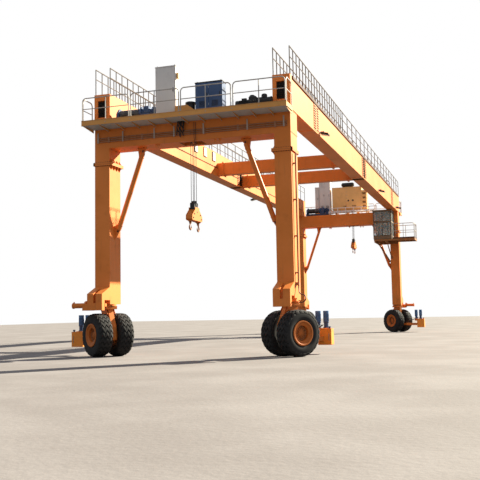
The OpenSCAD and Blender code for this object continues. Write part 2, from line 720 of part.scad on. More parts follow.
module cable_pipes() {
    color(steel) {
        for (e = [-1, 1]) at_end(e) {
            for (z = [beam_z + 250, beam_z + 320, beam_z + 390]) tube_x(-sx - 200, sx + 200, leg_y + 40, z, 44);
            for (x = [-3300, -1900, -600, 600, 1900, 3300]) box(x, x + 60, leg_y, leg_y + 64, beam_z + 210, beam_z + 430);
        }
        at_end(-1) translate([sx + leg_w/2, 0, 0]) {
            r = hose_route[0];
            box(0, side_pipe_x + 40, r[1] - hose_gap - hose_d, r[1] + hose_gap + hose_d, r[2], r[2] + 110);
            translate([side_pipe_x, r[1], r[2] + 100]) cylinder(d = 60, h = joint_z - r[2] - 200);
            for (z = [2900, 4200, 5500, 6800]) box(0, side_pipe_x + 34, r[1] - 40, r[1] + 40, z, z + 50);
        }
    }
}

pipe_y = leg_y - beam_d + 150;

rear_pipe_d = 150; // [120:5:170]
rear_pipe_x0 = -1200; // [-1300:10:-1100]
rear_pipe_x1 = sx - girder_w/2 - 1095;
pipe_flange_t = 40; // [30:5:60]
valve_x = rear_pipe_x0 + 220;
rear_rail_end = 250; // [200:10:300]

// Silver pipe along the inner edge of the rear cross-beam, with a valve and stands
module rear_pipe_rail() {
    color(steel) at_end(1) {
        z = beam_top + 170;
        tube_x(rear_pipe_x0, rear_pipe_x1, pipe_y, z, rear_pipe_d);
        for (x = [rear_pipe_x0 - pipe_flange_t, valve_x + 220, rear_pipe_x1 - pipe_flange_t]) tube_x(x, x + pipe_flange_t, pipe_y, z, rear_pipe_d + 100);
        translate([valve_x, pipe_y, z]) sphere(d = rear_pipe_d + 90);
        for (x = [-600, 500, 1600]) box(x, x + 60, pipe_y - 50, pipe_y + 50, beam_top + 8, z);
        translate([rear_pipe_x0 + 50, leg_y - beam_d + rail_t/2, beam_top + 8])
            rail_section(rear_pipe_x1 + rear_rail_end - rear_pipe_x0 - 50, 500, 600, 250);
    }
}

flood_y = [-11300, 5400, 13900];

module floodlights() {
    color(dark) for (s = [-1, 1]) for (y = flood_y) translate([s*(sx + girder_w/2), y, beam_top + 130]) mirror([s > 0 ? 0 : 1, 0, 0]) {
        box(0, 200, -30, 30, 0, 50);
        translate([60, 0, 0]) rotate([0, 12, 0]) box(0, 340, -170, 170, -80, 0);
    }
}

leg(-1, -1);  // leg_front_left
leg(1, -1);  // leg_front_right
leg(-1, 1);  // leg_rear_left
leg(1, 1);  // leg_rear_right
cross_beam(-1);  // cross_beam_front
cross_beam(1);  // cross_beam_rear
girder(-1);  // girder_left
girder(1);  // girder_right
tie_beams();
knee_braces();
deck(-1);  // deck_front
deck(1);  // deck_rear
deck_rail(-1);  // deck_rail_front
deck_rail(1);  // deck_rail_rear
walk_rails(-1);  // walk_rails_left
walk_rails(1);  // walk_rails_right
winch_front();
winch_rear();
control_cabinet_front();
control_cabinets_rear();
cooler_cabinet();
front_machines();
generator_set();
cab_frame();
cab_glass();
cab_platform();
cab_platform_rail();
rope_sheaves();
ropes(-1);  // ropes_front
ropes(1);  // ropes_rear
cable_pipes();
rear_pipe_rail();
floodlights();
steering_cylinders();
hose(-1);  // hose_a
hose(1);  // hose_b
color(paint) corner(-1, -1) fork(-1, -1);  // fork_front_left
color(paint) corner(1, -1) fork(1, -1);  // fork_front_right
color(paint) corner(-1, 1) fork(-1, 1);  // fork_rear_left
color(paint) corner(1, 1) fork(1, 1);  // fork_rear_right
color(blue) corner(-1, -1) power_pack(-1, -1);  // power_pack_front_left
color(blue) corner(1, -1) power_pack(1, -1);  // power_pack_front_right
color(blue) corner(-1, 1) power_pack(-1, 1);  // power_pack_rear_left
color(blue) corner(1, 1) power_pack(1, 1);  // power_pack_rear_right
color(dark) corner(-1, -1) tyres();  // tyres_front_left
color(dark) corner(1, -1) tyres();  // tyres_front_right
color(dark) corner(-1, 1) tyres();  // tyres_rear_left
color(dark) corner(1, 1) tyres();  // tyres_rear_right
color(paint) corner(-1, -1) rims();  // rims_front_left
color(paint) corner(1, -1) rims();  // rims_front_right
color(paint) corner(-1, 1) rims();  // rims_rear_left
color(paint) corner(1, 1) rims();  // rims_rear_right
sheave_box(-1);  // sheave_box_front
sheave_box(1);  // sheave_box_rear
hook_block(-1);  // hook_block_front
hook_block(1);  // hook_block_rear
hook(-1, -1);  // hook_front_inner
hook(-1, 1);  // hook_front_outer
hook(1, -1);  // hook_rear_inner
hook(1, 1);  // hook_rear_outer
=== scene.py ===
"""Looks of a rubber tyred gantry crane.

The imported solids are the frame. Every piece here is built by parametric mesh code in the same
frame, in metres: X across the crane, +Y from the front portal to the rear one, +Z up.
"""

from __future__ import annotations

import logging
import math
from dataclasses import dataclass
from enum import Enum
from typing import Callable, Iterable, Sequence

import bpy
import numpy as np
from mathutils import Matrix, Vector

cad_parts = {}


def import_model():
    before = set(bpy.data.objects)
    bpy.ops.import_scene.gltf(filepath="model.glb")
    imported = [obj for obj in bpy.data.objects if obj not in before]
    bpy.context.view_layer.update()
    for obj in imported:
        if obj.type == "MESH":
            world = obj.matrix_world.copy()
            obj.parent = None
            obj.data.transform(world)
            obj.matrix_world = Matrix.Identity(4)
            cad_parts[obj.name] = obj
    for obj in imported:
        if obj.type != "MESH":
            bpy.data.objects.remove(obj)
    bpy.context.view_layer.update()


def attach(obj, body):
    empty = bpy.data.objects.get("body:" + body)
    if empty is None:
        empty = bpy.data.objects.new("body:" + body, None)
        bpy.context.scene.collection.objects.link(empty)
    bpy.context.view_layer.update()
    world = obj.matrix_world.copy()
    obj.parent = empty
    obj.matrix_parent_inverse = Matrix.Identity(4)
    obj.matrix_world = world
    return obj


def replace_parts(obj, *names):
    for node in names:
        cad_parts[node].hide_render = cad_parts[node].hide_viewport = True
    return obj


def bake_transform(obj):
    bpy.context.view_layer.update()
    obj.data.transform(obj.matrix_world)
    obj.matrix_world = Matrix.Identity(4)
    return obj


logging.basicConfig(level=logging.INFO, format="%(message)s")
LOG = logging.getLogger("gantry_crane")

Point = Sequence[float]
TAU = 2.0 * math.pi
UP, DOWN, OUTWARD = (0, 0, 1), (0, 0, -1), (0, 1, 0)


class Side(Enum):
    """Side of the crane, as the sign of X."""

    LEFT = -1
    RIGHT = 1


class End(Enum):
    """End of the crane, as the sign of Y."""

    FRONT = -1
    REAR = 1


CORNERS = [(s, e) for e in End for s in Side]


@dataclass(frozen=True)
class Sizes:
    """Driving sizes of the solids, in metres."""

    span: float = 7.15
    base: float = 31.4
    leg_w: float = 0.62
    leg_d: float = 0.90
    joint_z: float = 7.32
    beam_z: float = 7.92
    beam_h: float = 0.87
    beam_d: float = 0.96
    girder_w: float = 0.66
    girder_h: float = 1.26
    flange_t: float = 0.06
    window_w: float = 0.36
    window_h: float = 0.66
    foot_z: float = 1.97
    tyre_d: float = 1.63
    tyre_w: float = 0.58
    twin: float = 0.88
    rim_d: float = 0.86
    steer_a: float = 54.0
    steer_b: float = -36.0
    pack_reach: float = 1.95
    pack_turn: float = 8.0
    tank_w: float = 0.50
    tank_d: float = 0.48
    tank_h: float = 0.59
    tank_z: float = 0.33
    deck_half: float = 3.98
    deck_reach: float = 0.88
    deck_t: float = 0.20
    rail_h: float = 0.875
    walk_rail_h: float = 1.05
    tube_r: float = 0.021
    rope_d: float = 0.020
    hook_z_front: float = 4.60
    hook_z_rear: float = 5.85
    hoist_off: float = 0.5
    block_h: float = 1.08
    box_h: float = 0.30
    block_axle: float = 0.195
    sheave_d: float = 0.30

    @property
    def sx(self) -> float:
        """Half the span."""
        return self.span / 2

    @property
    def sy(self) -> float:
        """Half the wheel base."""
        return self.base / 2

    @property
    def leg_y(self) -> float:
        """Half a leg's depth."""
        return self.leg_d / 2

    @property
    def beam_top(self) -> float:
        """Top of the cross-beams, where the girders sit."""
        return self.beam_z + self.beam_h

    @property
    def girder_top(self) -> float:
        """Top of the girders."""
        return self.beam_top + self.girder_h

    @property
    def girder_half(self) -> float:
        """Half a girder's length."""
        return self.sy + self.leg_y

    @property
    def deck_z(self) -> float:
        """Underside of the deck's edge channel."""
        return self.beam_top - 0.15

    @property
    def deck_top(self) -> float:
        """Top of the deck's edge channel."""
        return self.deck_z + self.deck_t

    @property
    def plate_z(self) -> float:
        """Top of the deck's plate, just below the rim of its channel."""
        return self.deck_top - 0.02

    @property
    def deck_y1(self) -> float:
        """Outer edge of a deck, from the leg centres."""
        return self.leg_y + self.deck_reach

    @property
    def machine_z(self) -> float:
        """Top of the raised frame under the rear machines."""
        return self.deck_top + 0.40

    @property
    def sheave_z(self) -> float:
        """Axis of the upper sheaves."""
        return self.beam_z + 0.17


S = Sizes()


def end_frame(end: End) -> Matrix:
    """Frame of a portal, with +Y outwards from its leg centres.

    Args:
        end: Which portal.

    Returns:
        Matrix from the portal's own frame to the crane's; it mirrors at the front.
    """
    return Matrix.Translation((0, end.value * S.sy, 0)) @ Matrix.Diagonal((1, end.value, 1, 1))


def steer_angle(side: Side, end: End) -> float:
    """Steering angle of a corner in degrees, without the half turn of the rear ones."""
    return S.steer_a if side.value * end.value > 0 else S.steer_b


def corner_frame(side: Side, end: End) -> Matrix:
    """Frame of a steering fork, at its steering angle.

    Args:
        side: Side of the crane.
        end: End of the crane.

    Returns:
        Matrix from the fork's own frame, knee towards -Y, to the crane's.
    """
    turn = math.radians(steer_angle(side, end) + (180 if end is End.REAR else 0))
    return Matrix.Translation((side.value * S.sx, end.value * S.sy, 0)) @ Matrix.Rotation(turn, 4, "Z")


def leg_frame(side: Side, end: End) -> Matrix:
    """Frame of a leg, +X outwards across the crane and +Y outwards along it; it mirrors with both signs."""
    s = side.value
    return end_frame(end) @ Matrix.Translation((s * S.sx, 0, 0)) @ Matrix.Diagonal((s, 1, 1, 1))


def along_x(at: Point = (0, 0, 0), sign: float = 1.0) -> Matrix:
    """Frame at a point with local Z along X, or against it where the sign is negative."""
    return Matrix.Translation(at) @ Matrix.Rotation(math.copysign(math.pi / 2, sign), 4, "Y")


def corner_name(side: Side, end: End) -> str:
    """Name ending of a corner, as the nodes have it."""
    return f"{end.name.lower()}_{side.name.lower()}"


# ---------------------------------------------------------------- mesh code


def _chamfer_box() -> tuple[np.ndarray, np.ndarray, list[tuple[int, ...]]]:
    """Topology of a box with cut edges: each corner has one point on each of its three faces.

    Returns:
        The corners of the full box, how far the cut moves each, and the faces.
    """
    signs = np.array([(x, y, z) for x in (-1, 1) for y in (-1, 1) for z in (-1, 1)], float)
    full = np.repeat(signs, 3, axis=0)
    cut = np.tile(1.0 - np.eye(3), (8, 1)) * full
    index = {tuple(s): i for i, s in enumerate(signs)}
    faces: list[tuple[int, ...]] = []
    for a in range(3):
        b, c = (a + 1) % 3, (a + 2) % 3
        for s in (-1, 1):
            loop = []
            for sb, sc in ((-1, -1), (1, -1), (1, 1), (-1, 1)):
                k = [0.0] * 3
                k[a], k[b], k[c] = s, sb, sc
                loop.append(3 * index[tuple(k)] + a)
            faces.append(tuple(loop))
        for sb in (-1, 1):
            for sc in (-1, 1):
                k = [0.0] * 3
                k[a], k[b], k[c] = -1, sb, sc
                lo = 3 * index[tuple(k)]
                k[a] = 1
                hi = 3 * index[tuple(k)]
                faces.append((lo + b, hi + b, hi + c, lo + c))
    faces.extend((3 * i, 3 * i + 1, 3 * i + 2) for i in range(8))
    points = full - 0.3 * cut
    fixed = []
    for f in faces:
        p = points[list(f)]
        n = np.cross(p[1] - p[0], p[2] - p[0])
        fixed.append(tuple(f) if n @ p.mean(0) > 0 else tuple(reversed(f)))
    return full, cut, fixed


BOX_FULL, BOX_CUT, BOX_FACES = _chamfer_box()

# An outline's X and Y laid along Y and Z, its depth along X; and along X and Z, its depth against Y
YZ = Matrix(((0, 0, 1, 0), (1, 0, 0, 0), (0, 1, 0, 0), (0, 0, 0, 1)))
XZ = Matrix(((1, 0, 0, 0), (0, 0, -1, 0), (0, 1, 0, 0), (0, 0, 0, 1)))


def arc(centre: Point, radius: float, start: float, stop: float, n: int) -> list[tuple[float, float]]:
    """Points on a circle in a plane.

    Args:
        centre: Middle of the circle.
        radius: Its radius.
        start: First angle in degrees.
        stop: Last angle in degrees.
        n: Number of points.

    Returns:
        The points, first to last.
    """
    angles = np.radians(np.linspace(start, stop, n))
    return [(centre[0] + radius * math.cos(a), centre[1] + radius * math.sin(a)) for a in angles]


def circle(centre: Point, radius: float, n: int, upright: bool = False) -> list[tuple[float, float, float]]:
    """Points evenly round a circle.

    Args:
        centre: Its middle.
        radius: Its radius.
        n: Number of points.
        upright: Whether it stands in the XZ plane instead of lying in XY.

    Returns:
        The points, once round.
    """
    x, y, z = centre
    turns = [(radius * math.cos(a), radius * math.sin(a)) for a in np.linspace(0, TAU, n, endpoint=False)]
    return [(x + c, y, z + t) if upright else (x + c, y + t, z) for c, t in turns]


class Shape:
    """A mesh under construction: points and faces that look outwards."""

    def __init__(self) -> None:
        """Starts with no points."""
        self.points: list[np.ndarray] = []
        self.faces: list[tuple[int, ...]] = []
        self.count = 0

    def add(self, points: np.ndarray, faces: Iterable[Sequence[int]]) -> "Shape":
        """Adds points and the faces between them.

        Args:
            points: The new points.
            faces: Faces, as numbers of the new points.

        Returns:
            The shape itself.
        """
        points = np.asarray(points, float).reshape(-1, 3)
        self.faces.extend(tuple(i + self.count for i in f) for f in faces)
        self.points.append(points)
        self.count += len(points)
        return self

    def put(self, other: "Shape", place: Matrix) -> "Shape":
        """Adds a copy of another shape, moved by a matrix and turned outwards again if it mirrors.

        Args:
            other: Shape that is copied.
            place: Matrix that moves the copy.

        Returns:
            The shape itself.
        """
        if not other.count:
            return self
        m = np.array(place, float)
        points = np.concatenate(other.points) @ m[:3, :3].T + m[:3, 3]
        mirrored = np.linalg.det(m[:3, :3]) < 0
        faces = [tuple(reversed(f)) for f in other.faces] if mirrored else other.faces
        return self.add(points, faces)

    def block(self, lo: Point, hi: Point, cut: float = 0.004) -> "Shape":
        """A box between two corners with its edges cut by the given size.

        Args:
            lo: One corner.
            hi: The opposite corner.
            cut: Size of the cut edges.

        Returns:
            The shape itself.
        """
        lo, hi = np.minimum(lo, hi), np.maximum(lo, hi)
        half = (hi - lo) / 2
        cut = min(cut, float(half.min()) * 0.45)
        return self.add((lo + hi) / 2 + BOX_FULL * half - BOX_CUT * cut, BOX_FACES)

    def grid(self, p: np.ndarray, wrap_u: bool = False, wrap_v: bool = False) -> "Shape":
        """Quads over a grid of points p[u, v], closed round either way on request.

        Args:
            p: The points.
            wrap_u: Whether the last row joins the first.
            wrap_v: The same along v.

        Returns:
            The shape itself.
        """
        nu, nv = p.shape[:2]
        iu = np.arange(nu if wrap_u else nu - 1)
        iv = np.arange(nv if wrap_v else nv - 1)
        u, v = np.meshgrid(iu, iv, indexing="ij")
        u1, v1 = (u + 1) % nu, (v + 1) % nv
        quads = np.stack([u * nv + v, u1 * nv + v, u1 * nv + v1, u * nv + v1], -1).reshape(-1, 4)
        return self.add(p.reshape(-1, 3), quads.tolist())

    def lathe(self, profile: Sequence[Point], n: int = 24, place: Matrix | None = None) -> "Shape":
        """Turns a profile of (radius, height) round the local Z axis, with the outside on its right.

        Args:
            profile: The pairs of radius and height.
            n: Steps round.
            place: Where the local frame lies.

        Returns:
            The shape itself.
        """
        prof = np.asarray(profile, float)
        a = np.linspace(0, TAU, n, endpoint=False)
        x = prof[:, 0, None] * np.cos(a)
        y = prof[:, 0, None] * np.sin(a)
        z = np.repeat(prof[:, 1, None], n, 1)
        part = Shape().grid(np.stack([x, y, z], -1)[::-1], wrap_v=True)
        for row, flip in ((0, True), (len(prof) - 1, False)):
            if prof[row, 0] > 1e-6:
                k = (len(prof) - 1 - row) * n
                loop = list(range(k, k + n))
                part.faces.append(tuple(loop) if not flip else tuple(reversed(loop)))
        return self.put(part, place or Matrix.Identity(4))

    def rod(self, a: Point, b: Point, r: float, n: int = 12, cut: float = 0.0) -> "Shape":
        """A round bar from a to b.

        Args:
            a: Middle of one end.
            b: Middle of the other end.
            r: Its radius.
            n: Steps round.
            cut: Size of the cut edges.

        Returns:
            The shape itself.
        """
        a, b = Vector(a), Vector(b)
        d = b - a
        turn = d.to_track_quat("Z", "Y").to_matrix().to_4x4()
        h = d.length
        prof = [(r, 0), (r, h)] if cut <= 0 else [(r - cut, 0), (r, cut), (r, h - cut), (r - cut, h)]
        return self.lathe(prof, n, Matrix.Translation(a) @ turn)

    def pipe(self, path: Sequence[Point], r: float, n: int = 8, closed: bool = False) -> "Shape":
        """A tube swept along a path, its section carried without twist.

        Each ring is point + r * (cos(a) * normal + sin(a) * side) and stands across the mean direction of
        its two neighbours.

        Args:
            path: Points of its centre line.
            r: Its radius.
            n: Steps round.
            closed: Whether the path is a ring.

        Returns:
            The shape itself.
        """
        p = np.asarray(path, float)
        t = np.roll(p, -1, 0) - np.roll(p, 1, 0)
        if not closed:
            t[0], t[-1] = p[1] - p[0], p[-1] - p[-2]
        t /= np.linalg.norm(t, axis=1)[:, None]
        first = np.cross(t[0], (0, 0, 1) if abs(t[0][2]) < 0.9 else (1, 0, 0))
        normals = [first / np.linalg.norm(first)]
        for k in range(1, len(p)):
            v = normals[-1] - t[k] * (normals[-1] @ t[k])
            normals.append(v / np.linalg.norm(v))
        nrm = np.array(normals)
        side = np.cross(t, nrm)
        a = np.linspace(0, TAU, n, endpoint=False)
        ring = p[:, None] + r * (
            np.cos(a)[None, :, None] * nrm[:, None] + np.sin(a)[None, :, None] * side[:, None]
        )
        start = self.count
        self.grid(ring[:, ::-1], wrap_u=closed, wrap_v=True)
        if not closed:
            self.faces.append(tuple(range(start, start + n)))
            last = start + (len(p) - 1) * n
            self.faces.append(tuple(reversed(range(last, last + n))))
        return self

    def prism(self, outline: Sequence[Point], depth: float, place: Matrix) -> "Shape":
        """Extrudes an outline along local Z.

        Args:
            outline: Its points, anticlockwise in the local XY plane.
            depth: Length along local Z.
            place: Where the local frame lies.

        Returns:
            The shape itself.
        """
        o = np.asarray(outline, float)
        n = len(o)
        low = np.column_stack([o, np.zeros(n)])
        high = low + (0, 0, depth)
        faces = [tuple(reversed(range(n))), tuple(range(n, 2 * n))]
        faces += [(i, (i + 1) % n, n + (i + 1) % n, n + i) for i in range(n)]
        return self.put(Shape().add(np.vstack([low, high]), faces), place)

    def bolt(self, at: Point, axis: Point, r: float = 0.014) -> "Shape":
        """A hexagon head on a washer.

        Args:
            at: Middle of its base.
            axis: Direction of the head.
            r: Radius of the shank; the head is a little wider.

        Returns:
            The shape itself.
        """
        turn = Vector(axis).to_track_quat("Z", "Y").to_matrix().to_4x4()
        place = Matrix.Translation(Vector(at)) @ turn
        self.lathe([(1.9 * r, 0), (1.9 * r, 0.2 * r)], 12, place)
        self.lathe([(1.12 * r, 0.2 * r), (1.12 * r, 1.2 * r), (0.9 * r, 1.4 * r)], 6, place)
        return self

    def bolt_circle(
        self, centre: Point, axis: Point, radius: float, n: int, size: float, start: float = 0.0
    ) -> "Shape":
        """Bolts evenly round a circle across X or Z.

        Args:
            centre: Middle of the circle.
            axis: Direction of the heads, along X or Z.
            radius: Radius of the circle.
            n: Number of bolts.
            size: Radius of one bolt.
            start: Angle of the first one in radians.

        Returns:
            The shape itself.
        """
        x, y, z = centre
        for i in range(n):
            c, t = radius * math.cos(start + TAU * i / n), radius * math.sin(start + TAU * i / n)
            self.bolt((x, y + c, z + t) if axis[0] else (x + c, y + t, z), axis, size)
        return self

    def object(
        self, name: str, finish: "Finish", body: str = "gantry", frame: Matrix | None = None,
        angle: float = 34.0,
    ) -> bpy.types.Object:
        """Makes the Blender object.

        Args:
            name: Name of the piece.
            finish: Its finish.
            body: CAD body it moves with, or an empty string for none.
            frame: Where the shape's own frame lies in the crane's.
            angle: Edges sharper than this many degrees stay sharp.

        Returns:
            The new object, linked to the scene at the origin.
        """
        if frame is not None:
            return Shape().put(self, frame).object(name, finish, body, None, angle)
        mesh = bpy.data.meshes.new(name)
        mesh.from_pydata(np.concatenate(self.points), [], self.faces)
        mesh.polygons.foreach_set("use_smooth", np.ones(len(mesh.polygons), bool))
        mesh.set_sharp_from_angle(angle=math.radians(angle))
        mesh.materials.append(finish.material())
        obj = bpy.data.objects.new(name, mesh)
        bpy.context.scene.collection.objects.link(obj)
        if body:
            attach(obj, body)
        LOG.info("%s: %d faces", name, len(self.faces))
        return obj


# ---------------------------------------------------------------- shader code


class Sock:
    """A shader value with the usual operators."""

    def __init__(self, graph: "Graph", out: object) -> None:
        """Wraps an output socket of a graph."""
        self.graph = graph
        self.out = out

    def _math(self, op: str, *values: object) -> "Sock":
        """One Math node on this value."""
        return self.graph.node("ShaderNodeMath", "Value", {"operation": op}, self, *values)

    def __add__(self, other: object) -> "Sock":
        """Sum."""
        return self._math("ADD", other)

    __radd__ = __add__

    def __sub__(self, other: object) -> "Sock":
        """Difference."""
        return self._math("SUBTRACT", other)

    def __rsub__(self, other: object) -> "Sock":
        """A number less this value."""
        return self.graph.value(other) - self

    def __mul__(self, other: object) -> "Sock":
        """Product."""
        return self._math("MULTIPLY", other)

    __rmul__ = __mul__

    def clamp(self) -> "Sock":
        """Keeps the value from 0 to 1."""
        return self.graph.node("ShaderNodeClamp", "Result", {}, self)

    def step(self, low: float, high: float) -> "Sock":
        """0 below low, 1 above high and a smooth rise between them.

        Args:
            low: Value up to which it is 0.
            high: Value from which it is 1.

        Returns:
            The eased value.
        """
        return self.graph.node(
            "ShaderNodeMapRange", "Result", {"interpolation_type": "SMOOTHSTEP"}, self, low, high, 0.0, 1.0
        )

    def wave(self) -> "Sock":
        """Sine of the value in radians."""
        return self._math("SINE")


class Graph:
    """Node tree of one material."""

    def __init__(self, name: str) -> None:
        """Makes the material with its surface shader.

        Args:
            name: The material's name.
        """
        self.material = bpy.data.materials.new(name)
        self.material.use_nodes = True
        self.tree = self.material.node_tree
        self.bsdf = next(n for n in self.tree.nodes if n.type == "BSDF_PRINCIPLED")
        self._coords: Sock | None = None

    def node(self, kind: str, output: str | int, settings: dict[str, object], *inputs: object) -> Sock:
        """Adds a node.

        Args:
            kind: Blender's node type.
            output: Name or number of the output that is returned.
            settings: Properties of the node.
            inputs: Values or sockets in the order of the node's inputs; None leaves one as it is.

        Returns:
            The output, wrapped.
        """
        n = self.tree.nodes.new(kind)
        for key, value in settings.items():
            setattr(n, key, value)
        slots = [i for i in n.inputs if i.enabled] if kind != "ShaderNodeMath" else list(n.inputs)
        for slot, value in zip(slots, inputs):
            self.feed(slot, value)
        return Sock(self, n.outputs[output])

    def feed(self, slot: object, value: object) -> None:
        """Links or sets one input.

        Args:
            slot: The input.
            value: A socket, a plain value, or None to leave it.
        """
        if isinstance(value, Sock):
            self.tree.links.new(value.out, slot)
        elif value is not None:
            slot.default_value = value

    def value(self, v: object) -> Sock:
        """A constant as a socket.

        Args:
            v: A number, or a socket that is handed back.

        Returns:
            The socket.
        """
        if isinstance(v, Sock):
            return v
        s = self.node("ShaderNodeValue", 0, {})
        s.out.default_value = float(v)
        return s

    @property
    def coords(self) -> Sock:
        """Object coordinates: the crane's frame in metres.

        Returns:
            Their socket, made once.
        """
        if self._coords is None:
            self._coords = self.node("ShaderNodeTexCoord", "Object", {})
        return self._coords

    def scaled(self, sx: float, sy: float, sz: float) -> Sock:
        """Object coordinates with a scale for each axis."""
        return self.node("ShaderNodeMapping", "Vector", {}, self.coords, None, None, (sx, sy, sz))

    def noise(self, vector: Sock, scale: float, detail: float = 3.0, rough: float = 0.55) -> Sock:
        """Fractal noise from 0 to 1.

        Args:
            vector: Where it is read.
            scale: Waves for each metre.
            detail: Octaves.
            rough: Strength of the fine octaves.

        Returns:
            Its value.
        """
        n = self.tree.nodes.new("ShaderNodeTexNoise")
        self.feed(n.inputs["Vector"], vector)
        n.inputs["Scale"].default_value = scale
        n.inputs["Detail"].default_value = detail
        n.inputs["Roughness"].default_value = rough
        return Sock(self, n.outputs["Fac"])

    def axis(self, vector: Sock, name: str) -> Sock:
        """One part of a vector."""
        return self.node("ShaderNodeSeparateXYZ", name, {}, vector)

    @property
    def normal(self) -> Sock:
        """The surface's normal in the crane's frame."""
        return self.node("ShaderNodeTexCoord", "Normal", {})

    def mix(self, factor: object, a: object, b: object) -> Sock:
        """Colour a towards colour b.

        Args:
            factor: Share of b.
            a: Colour at 0.
            b: Colour at 1.

        Returns:
            The mixed colour.
        """
        n = self.tree.nodes.new("ShaderNodeMix")
        n.data_type = "RGBA"
        self.feed(n.inputs[0], factor)
        self.feed(n.inputs[6], a)
        self.feed(n.inputs[7], b)
        return Sock(self, n.outputs[2])

    def bump(self, height: Sock, strength: float, distance: float) -> Sock:
        """A normal bent by a height in metres times distance.

        Args:
            height: The height.
            strength: Share of the effect.
            distance: Metres for a height of 1.

        Returns:
            The normal.
        """
        n = self.tree.nodes.new("ShaderNodeBump")
        n.inputs["Strength"].default_value = strength
        n.inputs["Distance"].default_value = distance
        self.feed(n.inputs["Height"], height)
        return Sock(self, n.outputs["Normal"])

    def output(self, **inputs: object) -> bpy.types.Material:
        """Feeds the surface's inputs by name, with underscores for spaces.

        Args:
            inputs: Values or sockets by name.

        Returns:
            The material.
        """
        for key, value in inputs.items():
            self.feed(self.bsdf.inputs[key.replace("_", " ")], value)
        return self.material


def rgba(r: float, g: float, b: float) -> tuple[float, float, float, float]:
    """An opaque linear colour."""
    return (r, g, b, 1.0)


class Kind(Enum):
    """How a finish is built."""

    PAINT = "paint"
    GALVANISED = "galvanised"
    RUBBER = "rubber"
    BARE = "bare"
    ROPE = "rope"
    GLASS = "glass"


